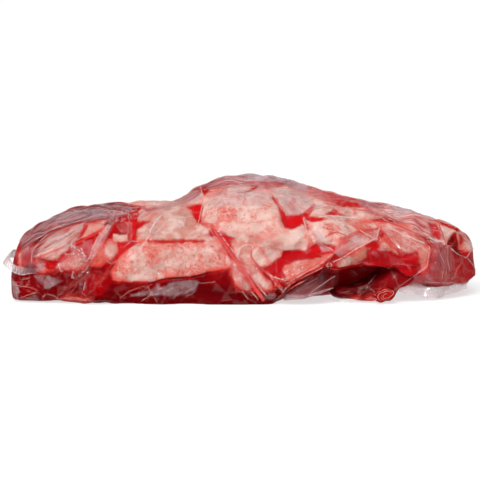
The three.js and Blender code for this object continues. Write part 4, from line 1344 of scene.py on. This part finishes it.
# %% [markdown]
# ## Loose film
# Film also stands clear of the meat: the sealed strip round the blunt end with its pressed ribs, a
# hem under the raised end, a veil that hangs before the recess and a scrap under the flap's tip. Each
# is a thin sheet with a front, a back and closed edges.


# %% A thin sheet as a closed mesh
def padded_steps(grid, axis):
    """The step from the point before to the point after, with the ends carried on in a line."""
    grid = np.moveaxis(grid, axis, 0)
    padded = np.concatenate([2 * grid[:1] - grid[1:2], grid, 2 * grid[-1:] - grid[-2:-1]])
    return np.moveaxis(padded[2:] - padded[:-2], 0, axis)


def closed_sheet(name, grid, thickness, **attributes):
    """Both sides of a grid of points, half a thickness out along its normals, joined at the edges."""
    rows, columns = grid.shape[:2]
    out = np.cross(padded_steps(grid, 1), padded_steps(grid, 0))
    out = out / np.maximum(np.linalg.norm(out, axis=2, keepdims=True), 1e-9) * thickness / 2
    points = np.concatenate([(grid + out).reshape(-1, 3), (grid - out).reshape(-1, 3)])
    points[:, 2] = np.maximum(points[:, 2], 0.0)
    i, j = np.meshgrid(np.arange(rows - 1), np.arange(columns - 1), indexing="ij")
    a = (i * columns + j).ravel()
    one = np.stack([a, a + 1, a + columns + 1, a + columns], axis=1)
    back = rows * columns
    rim = np.concatenate([np.arange(columns), np.arange(1, rows) * columns + columns - 1,
                          (rows - 1) * columns + np.arange(columns - 2, -1, -1),
                          np.arange(rows - 2, 0, -1) * columns])
    after = np.roll(rim, -1)
    edge = np.stack([after, rim, rim + back, after + back], axis=1)
    values = {key: np.tile(np.broadcast_to(given, (rows, columns)).reshape(-1), 2)
              for key, given in attributes.items()}
    return new_piece(name, points, one.tolist() + (one[:, ::-1] + back).tolist() + edge.tolist(), values)


# %% [markdown]
# The bag was closed by a heated bar, which left a flat strip with pressed ribs. On the real pack it
# bends round the blunt end like a cuff, and its lower edge stands off.

# %% The sealed strip round the blunt end
STRIP_TOP, STRIP_WIDTH, STRIP_FLARE = 40, 12, 6
STRIP_TURN_START, STRIP_TURN_END = -97, 84
RIB_PITCH, RIB_HEIGHT = 7.5, 0.5


def seal_strip(columns=420, rows=16):
    """A band that follows the end's rounded outline, close to it above and standing off below:
    away = 1 + 0.8 share + free * flare * share^0.8 + rib, rib = height * sin(360 degrees / pitch)."""
    t = np.linspace(0, 1, columns)
    degrees = STRIP_TURN_END + (STRIP_TURN_START - STRIP_TURN_END) * t
    turn = np.radians(degrees)
    rounded = lambda v: np.sign(v) * np.abs(v) ** (2 / LEFT_BLUNTNESS)
    out = np.stack([-np.cos(turn), np.sin(turn), 0 * turn], axis=1)
    x = LEFT_END + LEFT_CAP * 1.1 * (1 - rounded(np.cos(turn)))
    side = np.where(turn < 0, -curve(FRONT_REACH, x), curve(BACK_REACH, x))
    wall = np.stack([x, side * rounded(np.sin(turn)), 0 * x], axis=1)
    free = ramp(-60, -5, degrees) * (1 - ramp(50, 84, degrees))
    share = np.linspace(0, 1, rows)[:, None]
    rib = RIB_HEIGHT * np.sin(2 * np.pi * degrees / RIB_PITCH)[None] * ramp(0.1, 0.4, share)
    away = 1.0 + 0.8 * share + free[None] * STRIP_FLARE * share**0.8 + rib
    ear = np.exp(-(((degrees + 12) / 38) ** 2))[None]  # the strip rises where it faces the left
    end_taper = 1 - 0.5 * ramp(0.9, 1, t)[None]
    height = STRIP_TOP - 4 + 7 * ear - (STRIP_WIDTH - 4) * share * end_taper
    grid = wall[None] + out[None] * away[..., None]
    grid[..., 2] = height + 0.6 * value_noise(np.stack([t * 18, 0 * t], -1), 61)[None] * share
    return grid + (0.4 * uneven(grid, 5, 2, 62))[..., None] * out[None], share


strip_grid, strip_share = seal_strip()
strip_edge = ramp(0.86, 1.0, strip_share)
strip_run = np.linalg.norm(np.diff(strip_grid[8], axis=0, prepend=strip_grid[8, :1]), axis=1).cumsum()[None]
strip_left = strip_run[:, -1:] - strip_run
strip_fade = 0.03 + 0.97 * ramp(2, 58, strip_left)
strip_milky = strip_fade * 0.45 + 0.5 * strip_edge * ramp(2, 22, strip_left)
seal = closed_sheet("seal_strip", strip_grid, 0.5, milky=strip_milky, run=strip_run + 2.5 * strip_share)

# %% [markdown]
# Under the raised end a spare lap of the bag hangs down, with a few dropped corners.

# %% The hem under the raised end
HEM_START_X, HEM_END_X, HEM_WAVES = 152, 222, 3.5
# How far the edge drops at each x.
HEM_CORNERS = pairs("152,0 158,3 165,3.5 174,5.5 177,8 188,8.5 191,10 195,10 205,6 214,4 222,1")


def hem_grid(columns=200, rows=20):
    """A sheet that leaves the underside, bends down and ends in an edge with a few dropped corners."""
    t = np.linspace(0, 1, columns)
    x = HEM_START_X + (HEM_END_X - HEM_START_X) * t
    y = curve(FRONT_REACH, x) + 12
    wave = np.sin(2 * np.pi * HEM_WAVES * t)
    drop = np.interp(x, *np.array(HEM_CORNERS, float).T)
    root = curve(UNDERSIDE_HEIGHT, x)
    keys = np.array([0, 0.45, 1])  # shares of the way down at the root, the bend and the edge
    share = np.linspace(0, 1, rows)
    down = lambda a, b, c: np.stack([np.interp(share, keys, k) for k in zip(a, b, c)], axis=1)
    depth = down(y + 10, y + 1 + wave, y - 3 + 2 * wave)
    height = down(root + 9, root + 1, root - drop)
    grid = np.stack([np.broadcast_to(x, depth.shape), depth, height], axis=-1)
    return grid + (0.5 * uneven(grid, 6, 2, 65))[..., None] * np.array([0, -1, 0.2]), share


hem_points, hem_share = hem_grid()
hem = closed_sheet("raised_end_hem", hem_points, 0.3, milky=0.4 + 0.25 * hem_share[:, None] ** 4, run=0.0)

# %% [markdown]
# Before the recess a veil of film spans from the lip down to the floor, so the dark lean behind it is seen
# through a pale skin. The dark of the shaded recess is painted on this sheet, darker towards the lip. A scrap
# of film shows under the flap's tip as well.

# %% The veil before the recess, and the scrap under the flap's tip
VEIL_TOP = [(38, 9, -72), (50, 17, -73), (64, 27, -74), (80, 37, -70), (91, 42, -60)]
VEIL_FOOT = [(38, 4.5, -77), (46, 5.5, -79), (56, 6, -80), (65, 8.5, -78), (76, 11.5, -74), (87, 14, -66)]
SCRAP_TOP = [(86, 6, -60), (95, 5, -63), (108, 4, -66)]
SCRAP_FOOT = [(88, 0.5, -61), (96, 0.4, -65), (106, 0.6, -68)]


def crumpled_sheet(edges, rows, columns, roughness, noise_size, stretch, seed):
    """A sheet between two edges, each a smooth curve through (x, height, depth) places. Noise moves
    it towards the viewer and away."""
    lines = []
    for edge in edges:
        x = np.linspace(edge[0][0], edge[-1][0], columns)
        z = curve([(a, b) for a, b, _ in edge], x)
        y = curve([(a, c) for a, _, c in edge], x)
        lines.append(np.stack([x, y, z], axis=1)[None])
    share = np.linspace(0, 1, rows)[:, None, None]
    grid = lines[0] * (1 - share) + lines[1] * share
    move = roughness * uneven(grid * stretch, noise_size, 2, seed)
    return grid + move[..., None] * np.array([0, -1, 0])


veil_grid = crumpled_sheet((VEIL_TOP, VEIL_FOOT), 50, 90, 0.7, 12, [1, 1, 2], 71)
sheet_shape = veil_grid.shape[:2]
veil_place = seen_at(veil_grid).reshape(-1, 2)
veil_across, veil_down = np.moveaxis(veil_place.reshape(*sheet_shape, 2), 2, 0)
# Pale patches on the sheet, partly milky film and partly a painted reflection, and creases whose white lines
# are painted highlights.
SHEET_VEILS = patches("""
1.1: 284,299 285,293 300,294 318,291 331,287 334,293 318,298 300,300
.9: 299,292 303,288 308,285 310,287 304,289
0: 280,305 280,260 340,260 340,305
""")  # strength, corners
VEIL_CREASES = patches("""
.8 .5 .4 .2: 342,272 330,279 320,286 310,293
.7 .5 .4 .2: 334,288 324,290 312,294
.6 .3 .4 .2: 300,281 306,284 318,278
""")
# Where the painted shade of the recess lies on the sheet.
TINGED = pairs("281,302 286,288 294,280 306,272 320,263 336,258 336,293 318,299 300,303")
veil_patch, veil_share = lay_out(SHEET_VEILS, veil_place, blend=0.5)
veil_values = film_values(veil_grid, VEIL_CREASES, veil_patch.reshape(sheet_shape),
                          veil_share[:, 0].reshape(sheet_shape))
tinge = ramp(-2, 2, inside_by(veil_place, TINGED).reshape(sheet_shape))
tinge = 0.88 * tinge * (1 - ramp(316, 334, veil_across))
veil_values["tinge"] = tinge * (1 - 0.5 * ramp(288, 296, veil_down))
veil_values["sweep"], veil_values["sweep_haze"] = 0.08 * veil_values["tinge"], 1.0
veil_values["sweep_u"] = 0.8 * veil_across - 0.6 * veil_down
veil_values["sweep_v"] = 0.6 * veil_across + 0.8 * veil_down
# Painted shade of the recess: darker at the upper right, near the lip, and lighter to the lower left.
veil_values["facet"] = 0.9 * ramp(-12, 34, 0.5 * (320 - veil_across) + 1.4 * (veil_down - 284))
hanging = closed_sheet("recess_veil", veil_grid, 0.25, **veil_values)
scrap_grid = crumpled_sheet((SCRAP_TOP, SCRAP_FOOT), 16, 60, 0.5, 6, [1, 1, 1], 75)
scrap = closed_sheet("flap_scrap", scrap_grid, 0.3, milky=0.12, run=0.0)

# %% [markdown]
# ## Materials
# Colours are given as they look on a screen and turned to linear light. The helpers below place nodes
# and link them, so that each material reads from top to bottom.


# %% Helpers for materials
NUMBER, COLOUR = "NodeSocketFloat", "NodeSocketColor"


def linear(red, green, blue):
    """A screen colour of 0 to 255 as linear light: ((c + 0.055) / 1.055)^2.4 above 0.04."""
    c = np.array([red, green, blue]) / 255
    return (*np.where(c > 0.04045, ((c + 0.055) / 1.055) ** 2.4, c / 12.92).tolist(), 1.0)


class Nodes:
    """Places nodes in a tree and links them."""

    def __init__(self, tree):
        self.tree = tree

    def add(self, kind, settings=None, **inputs):
        """A node with its settings, and each input by name: a socket is linked, a value is set."""
        node = self.tree.nodes.new(kind)
        for key, value in (settings or {}).items():
            setattr(node, key, value)
        for key, value in inputs.items():
            self.put(node.inputs[key.replace("_", " ")], value)
        return node

    def put(self, socket, value):
        """Links or sets one socket."""
        if isinstance(value, bpy.types.NodeSocket):
            self.tree.links.new(value, socket)
        else:
            socket.default_value = value

    def wired(self, kind, settings, inputs, output=0):
        """One output of a node with its settings, and each input by name or number."""
        node = self.add(kind, settings)
        for key, value in inputs.items():
            self.put(node.inputs[key], value)
        return node.outputs[output]

    def math(self, operation, a, b=0.0, clamp=False):
        """A Math node on two values."""
        return self.wired("ShaderNodeMath", {"operation": operation, "use_clamp": clamp}, {0: a, 1: b})

    def times(self, a, b, clamp=False):
        """The product of two values."""
        return self.math("MULTIPLY", a, b, clamp)

    def plus(self, a, b):
        """The sum of two values."""
        return self.math("ADD", a, b)

    def minus(self, a, b):
        """The first value less the second."""
        return self.math("SUBTRACT", a, b)

    def blend(self, share, a, b):
        """Shader a where the share is 0 and b where it is 1."""
        return self.wired("ShaderNodeMixShader", {}, {0: share, 1: a, 2: b})

    def mix(self, share, a, b):
        """Colour a where the share is 0 and b where it is 1."""
        return self.wired("ShaderNodeMix", {"data_type": "RGBA"}, {0: share, 6: a, 7: b}, 2)

    def over(self, under, share, colour):
        """A layer of a colour laid over what is there: shares cover as 1 - (1 - a)(1 - b)."""
        cover, below = under
        left = self.times(self.minus(1.0, cover), self.minus(1.0, share))
        both = self.math("SUBTRACT", 1.0, left, True)
        part = self.math("DIVIDE", share, self.math("MAXIMUM", both, 0.001), True)
        return both, self.mix(part, below, colour)

    def step(self, value, low, high, to_low=0.0, to_high=1.0):
        """A smooth step from low to high."""
        return self.wired("ShaderNodeMapRange", {"interpolation_type": "SMOOTHSTEP"},
                          {0: value, 1: low, 2: high, 3: to_low, 4: to_high})

    def attribute(self, name):
        """A value kept in the mesh."""
        return self.add("ShaderNodeAttribute", {"attribute_name": name}).outputs["Fac"]

    def noise(self, place, size, detail=3.0, roughness=0.55, distortion=0.0):
        """Noise whose features are about that many millimetres."""
        return self.wired("ShaderNodeTexNoise", {}, {
            "Vector": place, "Scale": 1000 / size, "Detail": detail, "Roughness": roughness,
            "Distortion": distortion}, "Fac")


def new_material(name):
    """An empty material, its nodes and its output."""
    material = bpy.data.materials.new(name)
    material.use_nodes = True
    material.node_tree.nodes.clear()
    nodes = Nodes(material.node_tree)
    return material, nodes, nodes.add("ShaderNodeOutputMaterial")


def new_group(name, inputs, outputs):
    """A node group with inputs {name: value} that are numbers, and outputs {name: kind}."""
    tree = bpy.data.node_groups.new(name, "ShaderNodeTree")
    for key, value in inputs.items():
        tree.interface.new_socket(key, in_out="INPUT", socket_type=NUMBER).default_value = value
    for key, kind in outputs.items():
        tree.interface.new_socket(key, in_out="OUTPUT", socket_type=kind)
    nodes = Nodes(tree)
    return tree, nodes, nodes.add("NodeGroupInput"), nodes.add("NodeGroupOutput")


# %% [markdown]
# Fat and lean are one material, since one runs into the other. A node group works out the colour from the
# values in the mesh: a frayed edge from noise, pink blotches and red specks in the fat, a red rim at its
# edge, and lean that is darker or brighter by its glow, which is painted light and shade. The group is used
# by every piece of meat.

# %% The raw meat group: fat, lean and a bump from a few masks
raw_meat, g, g_in, g_out = new_group(
    "raw_meat", {"Fat depth": 0.0, "Cream": 0.5, "Stain": 0.2, "Glow": 0.2, "Melt": 1.0},
    {"Colour": COLOUR, "Height": NUMBER})
fat_depth_in, cream_in, stain_in, glow_in, melt_in = (g_in.outputs[i] for i in range(5))
spot = g.add("ShaderNodeTexCoord").outputs["Object"]
cloud = g.noise(spot, 15, 5.0, 0.6, 0.6)
blotch = g.noise(spot, 6, 4.0, 0.65, 0.9)
speck = g.noise(spot, 1.7, 3.0, 0.6, 0.6)
depth = g.plus(fat_depth_in, g.times(g.minus(blotch, 0.5), 7.0))
fat_mask = g.step(depth, g.times(melt_in, -0.7), melt_in)
# Creaminess and stain also carry painted shade, on the pads that turn away from the light.
fat_colour = g.mix(cream_in, linear(158, 92, 76), linear(213, 173, 162))
fat_colour = g.mix(g.step(cloud, 0.42, 0.66, 0.0, 0.6), fat_colour, linear(227, 198, 190))
lean_in = g.times(g.minus(stain_in, 0.25), 0.22)
pink = g.times(g.step(g.plus(blotch, lean_in), 0.42, 0.64), g.step(g.minus(cloud, lean_in), 0.60, 0.40))
fat_colour = g.mix(g.times(pink, 0.75), fat_colour, linear(206, 104, 92))
red = g.times(g.step(g.plus(speck, g.times(lean_in, 0.7)), 0.58, 0.67), g.step(blotch, 0.44, 0.56))
fat_colour = g.mix(g.times(red, 0.72), fat_colour, linear(188, 44, 40))
rim = g.step(g.plus(depth, g.times(g.minus(cloud, 0.5), 8.0)), 5.0, 0.0)
rim = g.times(rim, g.plus(0.35, stain_in))
fat_colour = g.mix(g.math("MINIMUM", rim, 0.85), fat_colour, linear(206, 72, 62))
# The glow paints the lean lighter where light falls on it and nearly brown where it lies in shade.
lean_colour = g.mix(glow_in, linear(52, 0, 2), linear(184, 8, 16))
lean_colour = g.mix(g.step(blotch, 0.5, 0.75, 0.0, 0.4), lean_colour, linear(120, 8, 12))
lean_rim = g.times(g.step(fat_depth_in, -6.0, 0.0), 0.65)
lean_colour = g.mix(lean_rim, lean_colour, linear(184, 34, 32))
g.put(g_out.inputs["Colour"], g.mix(fat_mask, lean_colour, fat_colour))
g.put(g_out.inputs["Height"], g.plus(g.times(speck, 0.4), g.times(blotch, 0.6)))

# %% [markdown]
# Meat lets light in, which comes out again red a few millimetres away, so it has some subsurface
# scattering. It has no shine of its own, because film lies over all of it and shines instead.

# %% Meat
raw, n, out = new_material("raw_meat_and_fat")
group = n.add("ShaderNodeGroup", {"node_tree": raw_meat})
for number, key in enumerate(("fat", "cream", "stain", "glow", "melt")):
    n.put(group.inputs[number], n.attribute(key))
bump = n.add("ShaderNodeBump", Height=group.outputs["Height"], Strength=0.15, Distance=0.0005)
body = n.add("ShaderNodeBsdfPrincipled", Base_Color=group.outputs["Colour"], Roughness=0.42,
             Normal=bump.outputs[0], Specular_IOR_Level=0.0, Subsurface_Weight=0.12,
             Subsurface_Radius=(1.0, 0.28, 0.2), Subsurface_Scale=0.003)
n.put(out.inputs["Surface"], body.outputs[0])
for piece in (meat, flap_meat, curl):
    piece.data.materials.append(raw)

# %% [markdown]
# The juice is a skin that is see-through where there is none. Its alpha follows the value in the mesh.

# %% Juice
juice_look, n, out = new_material("red_juice")
spot = n.add("ShaderNodeTexCoord").outputs["Object"]
waver = n.times(n.minus(n.noise(spot, 7.0, 3.0), 0.5), 4.0)
filled = n.step(n.plus(n.attribute("juice"), waver), -1.6, 2.2)
tint = n.mix(n.attribute("deep"), linear(217, 22, 28), linear(108, 0, 3))
tint = n.mix(n.step(n.noise(spot, 16, 3.0), 0.42, 0.66, 0.0, 0.5), tint, linear(186, 4, 10))
# The film over it carries the shine.
wet = n.add("ShaderNodeBsdfPrincipled", Base_Color=tint, Roughness=0.2, Alpha=n.times(filled, 0.9),
            Specular_IOR_Level=0.0)
n.put(out.inputs["Surface"], wet.outputs[0])
juice_skin.data.materials.append(juice_look)

# %% [markdown]
# The finest folds of film are too thin for the mesh. They come from noise that is stretched along the
# sweeps: Streak is broad, Hair is fine, Cloud has no direction, and Height is for a bump.

# %% The wrinkles group for film
wrinkles, g, g_in, g_out = new_group(
    "film_wrinkles", {"Along": 0.0, "Across": 0.0},
    dict.fromkeys(("Height", "Streak", "Hair", "Cloud"), NUMBER))
spot = g.add("ShaderNodeTexCoord").outputs["Object"]


def stretched(along_scale, across_scale, distortion):
    """Noise whose features are long along the sweep and thin across it; a scale is per millimetre."""
    run = g.add("ShaderNodeCombineXYZ", X=g.times(g_in.outputs["Along"], along_scale),
                Y=g.times(g_in.outputs["Across"], across_scale)).outputs[0]
    return g.noise(run, 1000, 2.0, 0.5, distortion)


streak, hair = stretched(0.016, 0.55, 0.2), stretched(0.045, 1.1, 0.25)
cloud = g.noise(spot, 12, 3.0, 0.6, 0.4)
fold = g.math("ABSOLUTE", g.minus(g.noise(spot, 11, 2.0, 0.5, 0.6), 0.5))
g.put(g_out.inputs["Height"], g.plus(g.step(fold, 0.0, 0.09, 1.0, 0.0), hair))
for key, value in (("Streak", streak), ("Hair", hair), ("Cloud", cloud)):
    g.put(g_out.inputs[key], value)


# %% [markdown]
# Film is clear, so its body is a Transparent shader. Where colour is painted on it, a Diffuse one takes its
# place, under a cover of layers: the painted shade of the recess on the sheet before it, the veils that are
# partly milky film and partly a painted reflection, a faint painted sheen on some facets, the red streaks of
# juice in the sweeps with their white painted highlights and painted sheen, and the creases with their
# painted highlights and shade. Over both lies a thin shine whose strength comes from the Fresnel effect. It
# is held down, or grazing angles would look like frost.


# %% Film
SHINE_LIMIT = 0.07


def film_shine(n, normal=None):
    """Clear film and its gloss: a Transparent shader, a Glossy one, and the Fresnel share."""
    facing_way = {"Normal": normal} if normal else {}
    white = (1, 1, 1, 1)
    return (n.add("ShaderNodeBsdfTransparent", Color=white).outputs[0],
            n.add("ShaderNodeBsdfGlossy", Color=white, Roughness=0.08, **facing_way).outputs[0],
            n.add("ShaderNodeFresnel", IOR=1.1 if normal else 1.12, **facing_way).outputs[0])


def film_material():
    """Film over the meat: clear or covered, by layers laid over one another, with a shine over all."""
    material, n, out = new_material("clear_film")
    group = n.add("ShaderNodeGroup", {"node_tree": wrinkles}, Along=n.attribute("sweep_u"),
                  Across=n.attribute("sweep_v"))
    streak, hair, cloud = (group.outputs[k] for k in ("Streak", "Hair", "Cloud"))
    bump = n.add("ShaderNodeBump", Height=group.outputs["Height"], Strength=0.5, Distance=0.0006)
    clear, shine, fresnel = film_shine(n, bump.outputs[0])

    facet, sweep = n.attribute("facet"), n.attribute("sweep")
    bright, haze_share = n.attribute("sweep_tone"), n.attribute("sweep_haze")
    # Painted shade of the dark recess, laid on the sheet that hangs before it.
    tinge = n.times(n.attribute("tinge"), n.step(cloud, 0.3, 0.7, 0.8, 1.1), True)
    ragged = n.plus(n.attribute("veil"), n.times(n.minus(cloud, 0.5), 4.5))
    veil = n.times(n.step(ragged, -1.0, 1.6), n.times(n.attribute("veil_strength"), 0.75))
    veil = n.times(veil, n.step(cloud, 0.3, 0.7, 0.5, 1.05), True)
    red = n.times(sweep, n.step(streak, 0.54, 0.42, 0.0, 0.8))
    haze = n.times(n.times(sweep, n.step(streak, 0.44, 0.62, 0.0, 0.62)), haze_share)
    white = n.times(sweep, n.step(hair, 0.54, 0.72, 0.0, 0.8))
    white = n.times(white, n.plus(0.3, n.times(haze_share, 0.7)))
    dark = n.times(sweep, n.step(hair, 0.42, 0.32, 0.0, 0.55))
    layer = (tinge, n.mix(facet, linear(88, 16, 18), linear(136, 80, 84)))
    # Layers over it: veils, partly a painted reflection; a painted sheen on a few facets; red juice streaks;
    # the painted sheen and the white painted highlights of the sweeps; and darker streaks.
    for share, mask, low, high in (
            (veil, n.step(cloud, 0.35, 0.65), (196, 160, 162), (206, 186, 192)),
            (n.step(facet, 0.78, 0.84, 0.0, 0.04), 0.0, (214, 186, 188), (214, 186, 188)),
            (red, bright, (150, 26, 32), (214, 60, 60)),
            (haze, bright, (192, 158, 162), (236, 188, 184)),
            (white, bright, (226, 204, 206), (246, 222, 220)),
            (dark, bright, (120, 30, 34), (190, 56, 58))):
        layer = n.over(layer, share, n.mix(mask, linear(*low), linear(*high)))

    # The crease lines: white is a painted highlight, tone -1 a painted shade, and red is juice.
    near = n.math("ABSOLUTE", n.attribute("crease_side"))
    line = n.times(n.step(near, 0.35, 0.95, 1.0, 0.0), n.attribute("crease_strength"))
    line = n.times(line, n.step(hair, 0.3, 0.6, 0.6, 1.1), True)
    tone = n.attribute("crease_tone")
    shade = n.mix(n.step(tone, -0.8, 0.0), linear(64, 6, 10), linear(216, 40, 42))
    shade = n.mix(n.step(tone, 0.0, 0.6), shade, linear(228, 138, 128))
    shade = n.mix(n.step(tone, 0.5, 1.0), shade, linear(240, 220, 218))
    cover, colour = n.over(layer, line, shade)
    body = n.blend(cover, clear, n.add("ShaderNodeBsdfDiffuse", Color=colour).outputs[0])
    n.put(out.inputs["Surface"], n.blend(n.math("MINIMUM", fresnel, SHINE_LIMIT), body, shine))
    return material


clear_film = film_material()
for piece in (film, flap_film, hanging):
    piece.data.materials.append(clear_film)

# %% [markdown]
# The strip, the hem and the scrap hang free. Heat and folding made them milky, with fine ribs.

# %% Loose film
loose_film, n, out = new_material("loose_film")
spot = n.add("ShaderNodeTexCoord").outputs["Object"]
rib = n.math("SINE", n.times(n.attribute("run"), 2 * math.pi / 2.7))
milky = n.times(n.attribute("milky"), n.step(n.noise(spot, 9, 2.0), 0.35, 0.65, 0.7, 1.25))
milky = n.times(milky, n.step(rib, -1.0, 1.0, 0.45, 1.45), True)
clear, shine, fresnel = film_shine(n)
milk = n.add("ShaderNodeBsdfDiffuse", Color=linear(222, 206, 208)).outputs[0]
n.put(out.inputs["Surface"], n.blend(milky, n.blend(fresnel, clear, shine), milk))
for piece in (seal, hem, scrap):
    piece.data.materials.append(loose_film)

# %% [markdown]
# ## Who stands for what
# Every piece rides on the part's one body and stands for the one solid, which is hidden. The table lists the
# pieces under the finish that each shows; no finish is set on them here.

# %% Tie the pieces to the solid
FINISHES = {"brisket": (meat, flap_meat, curl), "juice": (juice_skin,),
            "film": (film, flap_film, seal, hem, hanging, scrap)}
for finish, pieces in FINISHES.items():
    for piece in pieces:
        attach(piece, "root")
        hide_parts("vacuum_packed_brisket")

# %% [markdown]
# ## Floor, light and camera
# The pack is shown on a plain pale floor under soft light. One broad lamp high up on the viewer's side
# keeps the floor white. Softboxes and two strip lights give the film bright shapes to reflect.

# %% The stage
floor_mesh = bpy.data.meshes.new("floor")
floor_mesh.from_pydata([(-40, -40, 0), (40, -40, 0), (40, 60, 0), (-40, 60, 0)], [], [(0, 1, 2, 3)])
floor = new_object("floor", floor_mesh)
floor_look, n, out = new_material("pale_floor")
pale = n.add("ShaderNodeBsdfDiffuse", Color=(0.9, 0.9, 0.9, 1))
lit = n.add("ShaderNodeEmission", Color=(1, 1, 1, 1), Strength=1.25)
n.put(out.inputs["Surface"], n.blend(0.5, pale.outputs[0], lit.outputs[0]))
floor_mesh.materials.append(floor_look)


def add_lamp(name, kind, place, target, energy, size, colour=(1, 1, 1)):
    """A lamp at a place, turned to a target. Size is an angle for a sun and metres for a softbox."""
    lamp = bpy.data.lights.new(name, kind)
    lamp.energy, lamp.color = energy, colour
    if kind == "SUN":
        lamp.angle = math.radians(size)
    else:
        lamp.shape, lamp.size, lamp.size_y = "RECTANGLE", size[0], size[1]
    made = new_object(name, lamp)
    made.location = place
    made.rotation_euler = (Vector(target) - Vector(place)).to_track_quat("-Z", "Y").to_euler()
    return made


broad = add_lamp("broad_lamp", "SUN", (-0.8, -2.2, 2.6), (0, 0, 0), 2.6, 50)
broad.visible_glossy = False  # so broad a lamp would only dull the film
add_lamp("softbox", "AREA", (-0.8, -1.2, 1.6), (0, 0, 0.05), 6, (1.2, 0.1))
add_lamp("back_softbox", "AREA", (0.5, 1.8, 1.2), (0, 0, 0.08), 8, (2.0, 0.2))
for name, place in (("left_strip_light", (-1.6, -1.6, 1.5)), ("right_strip_light", (1.3, -1.9, 1.2))):
    gleam = add_lamp(name, "AREA", place, (0, 0, 0.05), 280, (0.9, 0.14))
    gleam.visible_diffuse = False  # it only gives the film bright lines to reflect
world = bpy.data.worlds.new("studio")
bpy.context.scene.world = world
world.use_nodes = True
backdrop = world.node_tree.nodes["Background"].inputs
backdrop["Color"].default_value = (1, 1, 1, 1)
backdrop["Strength"].default_value = 0.28

# %% [markdown]
# The camera stands 3.2 m away with a long lens, a little above the pack, as the photographer did.

# %% The camera
camera_data = bpy.data.cameras.new("camera")
camera_data.sensor_width, camera_data.lens = 36, 240
camera_data.clip_start, camera_data.clip_end = 0.1, 200
camera = new_object("camera", camera_data)
camera.location = (VIEW_MIDDLE - VIEW_AHEAD * VIEW_DISTANCE) / 1000
camera.rotation_euler = Vector(VIEW_AHEAD).to_track_quat("-Z", "Y").to_euler()
bpy.context.scene.camera = camera
bpy.context.scene.view_settings.view_transform = "Standard"

# %% [markdown]
# Last, the view layer is brought up to date.

# %% The last line
bpy.context.view_layer.update()
